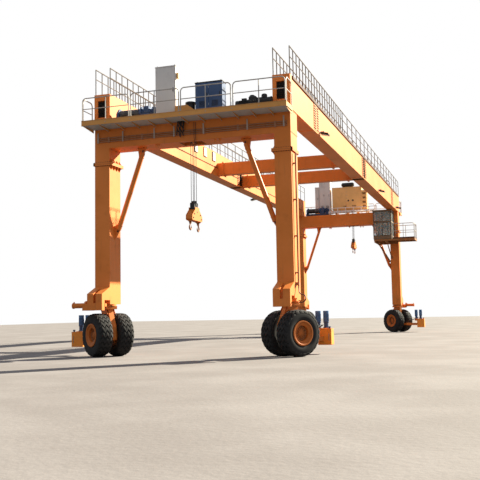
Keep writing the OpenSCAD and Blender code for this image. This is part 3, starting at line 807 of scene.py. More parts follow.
@dataclass(frozen=True)
class Finish:
    """One finish of the crane."""

    name: str
    kind: Kind
    colour: tuple[float, float, float]
    slot: str
    rough: float = 0.45
    metal: float = 0.0
    dirt: float = 0.5
    dirt_colour: tuple[float, float, float] = (0.10, 0.07, 0.045)
    under: tuple[float, float, float] | None = None

    def material(self) -> bpy.types.Material:
        """The Blender material, made once.

        Returns:
            The material, shared by all pieces of the finish.
        """
        name = f"{self.name}_finish"
        found = bpy.data.materials.get(name)
        if found is not None:
            return found
        makers: dict[Kind, Callable[[Graph], bpy.types.Material]] = {
            Kind.PAINT: self._paint,
            Kind.GALVANISED: self._galvanised,
            Kind.RUBBER: self._rubber,
            Kind.BARE: self._bare,
            Kind.ROPE: self._rope,
            Kind.GLASS: self._glass,
        }
        return makers[self.kind](Graph(name))

    def _paint(self, g: Graph) -> bpy.types.Material:
        """Sprayed paint: slow fading, run-down streaks, dust low down and a fine orange-peel.

        Args:
            g: Its new node tree.

        Returns:
            The material.
        """
        base = rgba(*self.colour)
        faded = rgba(*(min(1.0, c * 1.12 + 0.012) for c in self.colour))
        deep = rgba(*(c * 0.80 for c in self.colour))
        slow = g.noise(g.coords, 0.55, 4.0)
        tone = g.mix(slow.step(0.35, 0.70), base, faded)
        tone = g.mix(g.noise(g.coords, 2.3, 5.0).step(0.52, 0.78) * 0.6, tone, deep)
        streak = g.noise(g.scaled(5.0, 5.0, 0.28), 2.0, 6.0, 0.62).step(0.56, 0.80)
        specks = g.noise(g.coords, 26.0, 4.0).step(0.60, 0.74)
        height = g.axis(g.coords, "Z")
        low = 1.0 - height.step(0.3, 3.2)
        dust = (
            streak * 0.45 + specks * 0.30 + low * g.noise(g.coords, 5.0, 5.0).step(0.38, 0.72) * 0.6
        ) * self.dirt
        tone = g.mix(dust.clamp(), tone, rgba(*self.dirt_colour))
        if self.under is not None:
            down = (0.0 - g.axis(g.normal, "Z")).step(0.80, 0.95)
            tone = g.mix(down, tone, rgba(*self.under))
        rough = (self.rough + dust * 0.35 + g.noise(g.coords, 14.0, 2.0) * 0.08).clamp()
        peel = g.noise(g.coords, 90.0, 2.0) * 0.4 + g.noise(g.coords, 3.0, 3.0)
        return g.output(
            Base_Color=tone, Roughness=rough, Metallic=0.0, Specular_IOR_Level=0.25,
            Normal=g.bump(peel, 0.25, 0.004),
            Coat_Weight=(0.07 - dust * 0.07).clamp(), Coat_Roughness=0.25,
        )

    def _galvanised(self, g: Graph) -> bpy.types.Material:
        """Zinc coat: pale spangles and dull streaks.

        Args:
            g: Its new node tree.

        Returns:
            The material.
        """
        cells = g.tree.nodes.new("ShaderNodeTexVoronoi")
        cells.inputs["Scale"].default_value = 34.0
        g.feed(cells.inputs["Vector"], g.coords)
        spangle = g.axis(Sock(g, cells.outputs["Color"]), "X")
        bright = rgba(*(min(1.0, c * 1.18) for c in self.colour))
        tone = g.mix(spangle, rgba(*self.colour), bright)
        stain = g.noise(g.scaled(3.0, 3.0, 0.5), 3.0, 5.0).step(0.50, 0.75) * self.dirt
        tone = g.mix(stain, tone, rgba(*self.dirt_colour))
        rough = (self.rough + stain * 0.3 + spangle * 0.06).clamp()
        return g.output(Base_Color=tone, Roughness=rough, Metallic=self.metal)

    def _rubber(self, g: Graph) -> bpy.types.Material:
        """Tyre rubber: grey dust in the tread and on the lower side walls.

        Args:
            g: Its new node tree.

        Returns:
            The material.
        """
        fine = g.noise(g.coords, 60.0, 4.0)
        dust = (
            g.noise(g.coords, 3.2, 6.0).step(0.40, 0.78) * 0.55
            + g.noise(g.coords, 18.0, 4.0).step(0.5, 0.8) * 0.3
        )
        low = 1.0 - g.axis(g.coords, "Z").step(0.0, 0.9)
        tone = g.mix((dust * (0.45 + low * 0.5)).clamp(), rgba(*self.colour), rgba(*self.dirt_colour))
        return g.output(
            Base_Color=tone, Roughness=(self.rough + fine * 0.15).clamp(), Normal=g.bump(fine, 0.4, 0.003)
        )

    def _bare(self, g: Graph) -> bpy.types.Material:
        """Bare or blackened steel: brushed tone, oil and a little rust.

        Args:
            g: Its new node tree.

        Returns:
            The material.
        """
        brush = g.noise(g.scaled(1.0, 1.0, 12.0), 30.0, 3.0)
        rust = g.noise(g.coords, 7.0, 6.0, 0.65).step(0.56, 0.72) * self.dirt
        tone = g.mix(brush * 0.5, rgba(*self.colour), rgba(*(min(1.0, c * 1.35) for c in self.colour)))
        tone = g.mix(rust, tone, rgba(*self.dirt_colour))
        return g.output(
            Base_Color=tone, Roughness=(self.rough + rust * 0.4 + brush * 0.1).clamp(),
            Metallic=(self.metal - rust).clamp(), Normal=g.bump(brush, 0.15, 0.002),
        )

    def _rope(self, g: Graph) -> bpy.types.Material:
        """Greased wire rope: slanted strands along Z, with painted shade darkening the grooves between them.

        Args:
            g: Its new node tree.

        Returns:
            The material.
        """
        slant = (
            g.axis(g.coords, "Z") * 90.0 + g.axis(g.coords, "X") * 160.0 + g.axis(g.coords, "Y") * 160.0
        ).wave()
        grease = g.noise(g.coords, 4.0, 4.0).step(0.4, 0.7)
        tone = g.mix(grease * 0.7, rgba(*self.colour), rgba(*self.dirt_colour))
        # The grooves between the strands are darkened to 0.35 of the colour: painted shade.
        tone = g.mix(slant.step(-0.9, -0.2), rgba(*(c * 0.35 for c in self.colour)), tone)
        return g.output(
            Base_Color=tone, Roughness=(self.rough + grease * 0.2).clamp(), Metallic=self.metal,
            Normal=g.bump(slant, 0.6, 0.002),
        )

    def _glass(self, g: Graph) -> bpy.types.Material:
        """Cab glass with a thin film of dust.

        Args:
            g: Its new node tree.

        Returns:
            The material.
        """
        film = g.noise(g.coords, 3.0, 5.0).step(0.45, 0.8)
        tone = g.mix(film * 0.4, rgba(*self.colour), rgba(*self.dirt_colour))
        g.material.surface_render_method = "DITHERED"
        return g.output(
            Base_Color=tone, Roughness=(0.05 + film * 0.25).clamp(), Alpha=(0.22 + film * 0.25).clamp()
        )


class F:
    """The crane's finishes."""

    ORANGE = Finish("orange_paint", Kind.PAINT, (0.70, 0.198, 0.029), "frame_paint", 0.5)
    RIM = Finish("rim_paint", Kind.PAINT, (0.50, 0.132, 0.018), "rim_paint", 0.55, dirt=0.3)
    TANK = Finish("tank_paint", Kind.PAINT, (0.95, 0.29, 0.035), "pack_paint", 0.5, dirt=0.2)
    BROWN = Finish("brown_paint", Kind.PAINT, (0.30, 0.10, 0.030), "frame_paint", 0.5, dirt=0.8)
    # Near-black brown: on the girders' outer top lip it is painted shade for the underside of an overhang.
    TROUGH = Finish("trough_paint", Kind.PAINT, (0.075, 0.026, 0.008), "frame_paint", 0.7, dirt=0.2)
    DECK = Finish(
        "deck_paint", Kind.PAINT, (0.62, 0.29, 0.075), "deck_paint", 0.55,
        dirt=0.3, under=(0.44, 0.48, 0.50),
    )
    TAN = Finish("tan_paint", Kind.PAINT, (0.78, 0.46, 0.17), "tan_paint", 0.45, dirt=0.3)
    NAVY = Finish("navy_paint", Kind.PAINT, (0.042, 0.082, 0.185), "navy_paint", 0.4, dirt=0.35)
    BLUE = Finish("blue_paint", Kind.PAINT, (0.070, 0.165, 0.340), "pack_paint", 0.38, dirt=0.35)
    GREY = Finish("grey_paint", Kind.PAINT, (0.64, 0.61, 0.585), "grey_paint", 0.45, dirt=0.15)
    BLACK = Finish("black_paint", Kind.PAINT, (0.018, 0.018, 0.020), "black_metal", 0.45, dirt=0.3)
    ZINC = Finish(
        "galvanised", Kind.GALVANISED, (0.40, 0.37, 0.34), "galvanised", 0.55, 0.2, 0.4,
        (0.10, 0.08, 0.07),
    )
    RAIL = Finish(
        "walk_rail", Kind.GALVANISED, (0.14, 0.120, 0.105), "galvanised", 0.75, 0.0, 0.4,
        (0.06, 0.045, 0.035),
    )
    PIPE = Finish(
        "conduit", Kind.GALVANISED, (0.36, 0.16, 0.080), "conduit_steel", 0.5, 0.2, 0.6,
        (0.24, 0.11, 0.05),
    )
    STEEL = Finish(
        "bare_steel", Kind.BARE, (0.35, 0.34, 0.33), "rope_steel", 0.35, 0.9, 0.6,
        (0.14, 0.06, 0.03),
    )
    FORGED = Finish(
        "forged_steel", Kind.BARE, (0.045, 0.042, 0.042), "rope_steel", 0.45, 0.6, 0.5,
        (0.10, 0.05, 0.03),
    )
    ROPE = Finish(
        "wire_rope", Kind.ROPE, (0.20, 0.19, 0.19), "rope_steel", 0.45, 0.7, 0.5,
        (0.04, 0.035, 0.03),
    )
    TYRE = Finish(
        "tyre_rubber", Kind.RUBBER, (0.011, 0.0105, 0.011), "tyre", 0.78,
        dirt_colour=(0.060, 0.048, 0.040),
    )
    SILVER = Finish(
        "silver_pipe", Kind.GALVANISED, (0.72, 0.69, 0.68), "galvanised", 0.4, 0.3, 0.25,
        (0.30, 0.24, 0.20),
    )
    STRAP = Finish(
        "strap_steel", Kind.GALVANISED, (0.42, 0.33, 0.27), "galvanised", 0.5, 0.2, 0.4,
        (0.30, 0.20, 0.14),
    )
    HOSE = Finish(
        "hose_rubber", Kind.RUBBER, (0.016, 0.016, 0.017), "hose_rubber", 0.55,
        dirt_colour=(0.08, 0.065, 0.055),
    )
    HOOK = Finish("hook_paint", Kind.PAINT, (0.30, 0.105, 0.030), "hook_paint", 0.5, dirt=0.7)
    PLATFORM = Finish("platform_paint", Kind.PAINT, (0.30, 0.125, 0.035), "frame_paint", 0.6, dirt=0.4)
    CAB = Finish("cab_paint", Kind.PAINT, (0.17, 0.115, 0.065), "frame_paint", 0.5, dirt=0.3)
    GLASS = Finish("cab_glass", Kind.GLASS, (0.46, 0.55, 0.56), "glass", dirt_colour=(0.45, 0.42, 0.36))
    LAMP = Finish("lamp_glass", Kind.PAINT, (0.82, 0.82, 0.78), "glass", 0.2, dirt=0.2)


# ---------------------------------------------------------------- sub-assemblies


@dataclass
class Wheels:
    """Twin tyres with a chevron tread on dished rims, and a brown ring of painted shade in the recess round
    each hub.
    """

    side: Side
    end: End
    lugs: int = 24
    groove: float = 0.036
    across: int = 26
    nuts: int = 12
    nut_ring: float = 0.155
    hub_bolts: int = 8
    hub_ring: float = 0.085
    # Radius of the brown ring of painted shade in the hub recess.
    recess: float = 0.228
    sharp: float = 28.0

    def _tyre(self) -> Shape:
        """One tyre round the local Z axis.

        The section runs u from bead to bead. Round the tyre, each lug has six angles; the whole set
        leans by zig(x), a double zigzag across the tread, so the grooves' edges follow grid lines:
        angle(u, j) = (k + p_j) * 360 / lugs + zig(x(u)) and r(u, j) = R(u) - groove * g(u) * in_groove(j).
        Across the crown, with t from -1 to 1, R(u) falls by 0.030 * |t| ** 5 + 0.006 * t ** 2.

        Returns:
            The tyre, its middle at the origin.
        """
        h, r, b = S.tyre_w / 2, S.tyre_d / 2, S.rim_d / 2
        tread = np.linspace(-1, 1, self.across)
        section = [(b - 0.02, -h + 0.05, 0), (b + 0.02, -h + 0.035, 0), (b + 0.05, -h + 0.012, 0),
                   (b + 0.10, -h + 0.004, 0), (r - 0.25, -h, 0), (r - 0.17, -h + 0.004, 0),
                   (r - 0.115, -h + 0.012, 0.0), (r - 0.105, -h + 0.008, 0.35), (r - 0.055, -h + 0.020, 0.8)]
        crown = [(r - 0.030 * abs(t) ** 5 - 0.006 * t * t, t * (h - 0.045), 1.0) for t in tread]
        section += crown + [(a, -x, g) for a, x, g in reversed(section)]
        sec = np.array(section)
        x = sec[:, 1] / (h - 0.045)
        zig = np.abs(((np.clip(x, -1, 1) + 1) * 1.5) % 1.0 * 2 - 1) * 0.62
        phases = np.array([0.0, 0.05, 0.19, 0.24, 0.55, 0.85])
        sunk = np.array([0.25, 1.0, 1.0, 0.25, 0.0, 0.0])
        lean = np.where(sec[:, 2] > 0.01, zig, zig[np.argmax(sec[:, 2] > 0.3)])
        k = np.arange(self.lugs)
        angle = ((k[:, None] + phases[None]).reshape(-1)[None, :] + lean[:, None]) * TAU / self.lugs
        depth = np.tile(sunk, self.lugs)[None, :] * sec[:, 2, None] * self.groove
        rad = sec[:, 0, None] - depth
        p = np.stack(
            [rad * np.cos(angle), rad * np.sin(angle), np.repeat(sec[:, 1, None], angle.shape[1], 1)], -1
        )
        return Shape().grid(p[::-1], wrap_v=True)

    def _rim(self) -> tuple[Shape, Shape, Shape]:
        """One dished rim, outside towards local +Z, its nuts and a brown ring of painted shade in the recess
        round its hub.

        Returns:
            The rim, its nuts and the painted shade ring.
        """
        h, b = S.tyre_w / 2, S.rim_d / 2
        rim = Shape().lathe(
            [(0.02, -h + 0.05), (b - 0.05, -h + 0.05), (b - 0.03, -h + 0.03), (b - 0.002, -h + 0.03),
             (b - 0.002, h - 0.045), (b + 0.012, h - 0.022), (b + 0.006, h - 0.004), (b - 0.012, h - 0.002),
             (b - 0.045, h - 0.005), (b - 0.058, h - 0.016), (b - 0.066, h - 0.032), (b - 0.120, h - 0.046),
             (0.278, h - 0.052), (0.266, h - 0.060), (0.260, h - 0.078), (0.256, -0.020), (0.240, -0.040),
             (0.205, -0.045), (0.198, 0.040), (0.194, h - 0.170), (0.184, h - 0.158), (0.125, h - 0.154),
             (0.118, h - 0.134), (0.100, h - 0.124), (0.0, h - 0.118)], 64)
        # A brown ring laid in the recess round the hub: painted shade for that recess.
        recess = Shape().pipe(circle((0, 0, h - 0.165), self.recess, 48), 0.033, 8, True)
        nuts = Shape().bolt_circle((0, 0, h - 0.156), UP, self.nut_ring, self.nuts, 0.013)
        nuts.bolt_circle(
            (0, 0, h - 0.123), UP, self.hub_ring, self.hub_bolts, 0.008, TAU / 2 / self.hub_bolts
        )
        nuts.rod((0, b - 0.10, h - 0.06), (0, b - 0.14, h - 0.02), 0.006, 8)
        return rim, nuts, recess

    def build(self) -> None:
        """Makes the tyres, the rims and their nuts."""
        name = corner_name(self.side, self.end)
        tyre, (rim, nuts, recess) = self._tyre(), self._rim()
        tyres, rims, small, dark = Shape(), Shape(), Shape(), Shape()
        for s in (-1, 1):
            place = corner_frame(self.side, self.end) @ along_x((s * S.twin / 2, 0, S.tyre_d / 2), s)
            tyres.put(tyre, place @ (Matrix.Rotation(math.pi, 4, "X") if s < 0 else Matrix.Identity(4)))
            rims.put(rim, place)
            small.put(nuts, place)
            dark.put(recess, place)
        body = f"wheels_{name}"
        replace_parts(tyres.object(f"tread_{name}", F.TYRE, body, angle=self.sharp), f"tyres_{name}")
        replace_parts(rims.object(f"rim_pair_{name}", F.RIM, body, angle=self.sharp), f"rims_{name}")
        small.object(f"wheel_nuts_{name}", F.BROWN, body)
        # The rings in the hub recesses are painted shade.
        dark.object(f"hub_gap_{name}", F.BROWN, body)


@dataclass
class PowerPack:
    """Hydraulic tank, square to the crane, with two upright pump motors beside it."""

    side: Side
    end: End
    motors: tuple[float, float] = (0.0, 0.30)
    bell: float = 0.24
    fins: int = 28
    hose_r: float = 0.014

    def build(self) -> None:
        """Makes tank, motors and fittings and places them at the end of the fork's arm.

        A hose runs straight from the tank to the fork with t from 0 to 1, and sags by sin(pi * t).
        """
        name = corner_name(self.side, self.end)
        q = self.side.value * self.end.value
        turn = math.radians(S.pack_turn)
        px, py = -S.pack_reach * math.sin(turn), S.pack_reach * math.cos(turn)
        corner = corner_frame(self.side, self.end)
        back = Matrix.Rotation(-math.radians(steer_angle(self.side, self.end)), 4, "Z")
        frame = corner @ Matrix.Translation((px, py, S.tank_z)) @ back
        body = f"steering_{name}"
        w, d, h = S.tank_w / 2, S.tank_d / 2, S.tank_h
        tank, blue, dark, bright, hoses = Shape(), Shape(), Shape(), Shape(), Shape()
        tank.block((-w, -d, 0), (w, d, h - 0.02), 0.012)
        tank.block((-w - 0.006, -d - 0.006, h - 0.02), (w + 0.006, d + 0.006, h), 0.004)
        tank.block((-q * 0.16, -0.03, h), (q * (w + 0.19), 0.23, h + 0.02), 0.004)
        tank.block((q * w, 0.06, h - 0.12), (q * (w + 0.17), 0.075, h), 0.003)
        for x in self.motors:
            base = Matrix.Translation((q * x, 0.10, h + 0.02))
            shell = base @ Matrix.Translation((0, 0, self.bell))
            dark.lathe(
                [(0.115, 0), (0.115, 0.026), (0.085, 0.034), (0.085, 0.19), (0.105, 0.205),
                 (0.105, self.bell), (0, self.bell)], 28, base)
            blue.lathe([(0.098, 0), (0.098, 0.30), (0.104, 0.305), (0.104, 0.39), (0.092, 0.397),
                        (0.05, 0.40), (0, 0.40)], 28, shell)
            fin = Shape().block((0.092, -0.002, 0.012), (0.1045, 0.002, 0.29), 0.001)
            for i in range(self.fins):
                blue.put(fin, shell @ Matrix.Rotation(TAU * i / self.fins, 4, "Z"))
            blue.put(Shape().block((-0.05, 0.085, 0.36), (0.05, 0.15, 0.48), 0.008), base)
            bright.put(Shape().bolt_circle((0, 0, 0.026), UP, 0.103, 8, 0.007, 0.2), base)
        for i in range(6):
            for s in (-1, 1):
                bright.bolt((s * (w - 0.025), -d + 0.03 + i * (2 * d - 0.06) / 5, h), UP, 0.007)
                bright.bolt((s * w, -d + 0.05 + i * (2 * d - 0.10) / 5, 0.50), (s, 0, 0), 0.006)
        dark.lathe([(0.035, 0), (0.035, 0.04), (0.05, 0.045), (0.05, 0.075), (0.04, 0.085), (0, 0.085)], 20,
                   Matrix.Translation((-q * 0.18, -0.15, h)))
        bright.rod((-q * 0.16, -d - 0.010, 0.16), (-q * 0.16, -d - 0.010, 0.42), 0.010, 10)
        near = corner.inverted() @ frame @ Vector((q * 0.15, 0.10, h + 0.10))
        for k in (-1, 0, 1):
            t = np.linspace(0, 1, 30)
            x = near.x * (1 - t) + 0.035 * k + 0.02 * np.sin(5 * t + 2 * k)
            y = near.y * (1 - t) + 0.32 * t
            z = (near.z + 0.04) * (1 - t) + 0.74 * t - 0.10 * np.sin(np.pi * t)
            hoses.pipe(np.column_stack([x, y, z]), self.hose_r, 8)
        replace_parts(tank.object(f"tank_{name}", F.TANK, body, frame), f"power_pack_{name}")
        for shape, label, finish in (
            (blue, "pump_motors", F.BLUE), (dark, "pump_bells", F.NAVY), (bright, "tank_bolts", F.STEEL)
        ):
            shape.object(f"{label}_{name}", finish, body, frame)
        hoses.object(f"pack_hoses_{name}", F.HOSE, body, corner)


@dataclass
class Fork:
    """Slewing bolts, wedge plates and hub rings of a steering fork."""

    side: Side
    end: End
    slew_bolts: int = 24
    slew_ring: float = 0.29

    def build(self) -> None:
        """Makes the small parts in the fork's frame and places them."""
        name = corner_name(self.side, self.end)
        bolts, plates = Shape(), Shape()
        bolts.bolt_circle((0, 0, S.foot_z - 0.0708), DOWN, self.slew_ring, self.slew_bolts, 0.014)
        for s in (-1, 1):
            plates.prism([(-0.19, 1.78), (-0.30, 1.60), (0.20, 1.60), (0.28, 1.78)], 0.016,
                         Matrix.Translation((s * 0.16 - 0.008, 0, 0)) @ YZ)
            plates.lathe([(0.225, 0), (0.225, 0.012), (0.15, 0.02)], 32,
                         along_x((s * 0.161, 0, S.tyre_d / 2), s))
        frame = corner_frame(self.side, self.end)
        bolts.object(f"slew_bolts_{name}", F.FORGED, f"steering_{name}", frame)
        plates.object(f"fork_plates_{name}", F.ORANGE, f"steering_{name}", frame)


@dataclass
class Leg:
    """Flange plates, their bolts, gussets and seam at the top of a leg."""

    side: Side
    end: End

    def build(self) -> None:
        """Makes the leg's small parts in its own frame."""
        name = corner_name(self.side, self.end)
        frame = leg_frame(self.side, self.end)
        bolts, plates, seam = Shape(), Shape(), Shape()
        x_in, y_in = -S.leg_w / 2 - 0.06, -S.leg_y - 0.032
        spots = (
            [(x_in, y) for y in np.linspace(-0.42, 0.38, 8)]
            + [(x, y_in) for x in np.linspace(-0.30, 0.28, 6)]
        )
        for x, y in spots:
            bolts.bolt((x, y, S.joint_z + S.flange_t), UP, 0.015)
            bolts.bolt((x, y, S.joint_z - S.flange_t), DOWN, 0.015)
        for y in np.linspace(-0.36, 0.32, 4):
            for up in (-1, 1):
                z = S.joint_z + up * S.flange_t
                tri = [(-S.leg_w / 2, z), (-S.leg_w / 2 - 0.10, z), (-S.leg_w / 2, z + up * 0.16)]
                turn = Matrix.Translation((0, y + 0.006, 0)) @ XZ
                plates.prism(tri if up < 0 else tri[::-1], 0.012, turn)
        w, t, z = S.leg_w / 2, S.flange_t, S.joint_z
        plates.block((-w - 0.06, S.leg_y - 0.01, z - t), (w + 0.055, S.leg_y + 0.038, z + t), 0.004)
        plates.block((w - 0.01, -S.leg_y - 0.032, z - t), (w + 0.055, S.leg_y + 0.038, z + t), 0.004)
        seam.block((-w - 0.062, -S.leg_y - 0.034, z - 0.006), (w + 0.057, S.leg_y + 0.040, z + 0.006), 0.001)
        for x in np.linspace(-0.32, 0.32, 8):
            for up in (-1, 1):
                bolts.bolt((x, S.leg_y + 0.019, z + up * t), (0, 0, up), 0.013)
        bolts.object(f"flange_bolts_{name}", F.FORGED, frame=frame)
        plates.object(f"flange_gussets_{name}", F.ORANGE, frame=frame)
        seam.object(f"flange_seam_{name}", F.BROWN, frame=frame)


def railing(
    shape: Shape, a: Point, b: Point, height: float, mid: float, posts: int,
    bend: float = 0.14, r: float = S.tube_r,
) -> None:
    """One run of tube railing with its posts and their foot plates.

    Args:
        shape: Where it is added.
        a: Foot of the first post.
        b: Foot of the last post.
        height: Height of the top of the rail.
        mid: Height of the middle rail.
        posts: Number of posts, the two ends included.
        bend: Radius of the upper corners; at 0 they are square and the end posts are like the others.
        r: Radius of the tube.
    """
    a, b = np.asarray(a, float), np.asarray(b, float)
    length = float(np.linalg.norm(b - a))
    d, up, top = (b - a) / length, np.array((0.0, 0.0, 1.0)), height - r
    flat = [(0.0, top), (length, top)]
    if bend:
        flat = [(0.0, 0.0), (0.0, top - bend)] + arc((bend, top - bend), bend, 180, 90, 6)
        flat += [(length - bend, top)] + arc((length - bend, top - bend), bend, 90, 0, 6)[1:]
        flat += [(length, 0.0)]
    shape.pipe([a + d * x + up * z for x, z in flat], r, 8)
    shape.pipe([a + up * mid, b + up * mid], r * 0.8, 8)
    post, foot = (r * 0.9, 0.04) if bend else (r * 0.95, 0.035)
    for i in range(posts):
        p = a + d * (length * i / (posts - 1))
        if not bend or 0 < i < posts - 1:
            shape.pipe([p, p + up * top], post, 8)
        shape.block(p - (foot, foot, 0.0), p + (foot, foot, 0.008), 0.002)


@dataclass
class Girder:
    """Railings, window louvres with painted shade behind them, splices, a near-black lip of painted shade
    along the outer top edge, and a cable with clips on the inner face of a girder.
    """

    side: Side
    pitch: float = 0.52
    wide_pitch: float = 1.35
    wide_from: float = -6.0
    splices: tuple[float, ...] = (-12.0, -0.2)
    # Number of pieces in the painted shade lip along the outer top edge.
    shade_lip_pieces: int = 44
    slats: int = 9
    cable_z: float = 9.24

    def _rails(self) -> Shape:
        """The railings along both edges, with closer posts from the front up to wide_from.

        Returns:
            The railings in the crane's frame.
        """
        rails = Shape()
        y0 = S.girder_half - 0.06 - S.tube_r
        for x in (-1, 1):
            cx = self.side.value * S.sx + x * (S.girder_w / 2 - S.tube_r)
            z, h = S.girder_top, S.walk_rail_h
            for ya, yb, pitch in ((-y0, self.wide_from, self.pitch), (self.wide_from, y0, self.wide_pitch)):
                railing(rails, (cx, ya, z), (cx, yb, z), h, h * 0.62, math.ceil((yb - ya) / pitch) + 1, 0.0)
        return rails

    def build(self) -> None:
        """Makes everything that dresses one girder."""
        s = self.side.value
        cx, name = s * S.sx, self.side.name.lower()
        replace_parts(self._rails().object(f"girder_railing_{name}", F.RAIL), f"walk_rails_{name}")
        dark, plates, bolts, shade_lip_and_cable = Shape(), Shape(), Shape(), Shape()
        for end in End:
            f = end_frame(end)
            x0, x1 = cx - S.window_w / 2, cx + S.window_w / 2
            z1 = S.girder_top - 0.25
            # A thin black sheet at the back of the window: painted shade for the girder's dark inside.
            part = Shape().block((x0, S.leg_y - 0.235, z1 - S.window_h), (x1, S.leg_y - 0.232, z1), 0.0005)
            for i in range(self.slats):
                z = z1 - 0.05 - i * (S.window_h - 0.06) / self.slats
                slat = [(-0.08, -0.045), (-0.075, -0.05), (-0.006, 0), (-0.011, 0.005)]
                part.prism(slat, x1 - x0, Matrix.Translation((x0, S.leg_y, z)) @ YZ)
            dark.put(part, f)
            rim = Shape()
            for x in (x0 - 0.02, x1):
                rim.block(
                    (x, S.leg_y - 0.004, z1 - S.window_h - 0.02),
                    (x + 0.02, S.leg_y + 0.006, z1 + 0.02), 0.003,
                )
            for z in (z1, z1 - S.window_h - 0.02):
                rim.block((x0 - 0.02, S.leg_y - 0.004, z), (x1 + 0.02, S.leg_y + 0.006, z + 0.02), 0.003)
            plates.put(rim, f)
        for y in self.splices + tuple(-v for v in self.splices):
            z0, z1, inset = S.beam_top, S.girder_top, S.girder_w / 2 - 0.02
            for face in (-1, 1):
                x = cx + face * S.girder_w / 2
                plates.block(
                    (x - face * 0.004, y - 0.42, z0 + 0.06), (x + face * 0.014, y + 0.42, z1 - 0.06), 0.003
                )
                for dy in (-0.36, -0.28, -0.20, -0.12, 0.12, 0.20, 0.28, 0.36):
                    for z in np.arange(z0 + 0.12, z1 - 0.1, 0.10):
                        bolts.bolt((x + face * 0.014, y + dy, z), (face, 0, 0), 0.017)
            plates.block((cx - inset, y - 0.42, z0 - 0.014), (cx + inset, y + 0.42, z0 + 0.002), 0.003)
        outer, inner = cx + s * S.girder_w / 2, cx - s * S.girder_w / 2
        # Near-black pieces along the outer top edge of the web: painted shade under the overhang.
        step, z = 2 * (S.girder_half - 0.3) / self.shade_lip_pieces, S.girder_top
        for i in range(self.shade_lip_pieces):
            y = -S.girder_half + 0.3 + i * step
            lo = (outer - s * 0.002, y + 0.004, z - 0.125)
            hi = (outer + s * 0.045, y + step - 0.004, z - 0.012)
            shade_lip_and_cable.block(lo, hi, 0.004)
        z = self.cable_z
        shade_lip_and_cable.pipe([(inner - s * 0.018, y, z) for y in np.linspace(-15.0, 15.0, 31)], 0.014, 6)
        for y in np.arange(-14.6, 14.7, 1.9):
            shade_lip_and_cable.block((inner + s * 0.004, y, z - 0.025), (inner - s * 0.036, y + 0.03, z + 0.025), 0.003)
        dark.object(f"girder_louvres_{name}", F.BLACK)
        plates.object(f"splice_plates_{name}", F.ORANGE)
        bolts.object(f"splice_bolts_{name}", F.FORGED)
        shade_lip_and_cable.object(f"cable_trough_{name}", F.TROUGH)


@dataclass
class Motor:
    """Electric motor with cooling fins, fan cowl and terminal box, its axis along local X."""

    length: float
    radius: float
    fins: int = 30

    def shape(self) -> Shape:
        """The motor, from x = 0 to its length, its axis at the local origin.

        Returns:
            The motor.
        """
        r, n = self.radius, self.length
        out = Shape()
        out.lathe([(r * 1.12, 0), (r * 1.12, 0.02), (r * 0.9, 0.03), (r * 0.9, n * 0.72),
                   (r * 0.98, n * 0.73), (r, n * 0.75), (r, n * 0.96), (r * 0.93, n), (r * 0.3, n)],
                  32, along_x())
        fin = Shape().block((0.035, -0.003, r * 0.88), (n * 0.715, 0.003, r * 1.03), 0.001)
        for i in range(self.fins):
            out.put(fin, Matrix.Rotation(TAU * i / self.fins, 4, "X"))
        out.block((n * 0.22, -r * 0.45, r * 0.9), (n * 0.55, r * 0.45, r * 1.38), 0.008)
        out.block((n * 0.2, -r * 0.5, r * 1.38), (n * 0.57, r * 0.5, r * 1.43), 0.004)
        return out


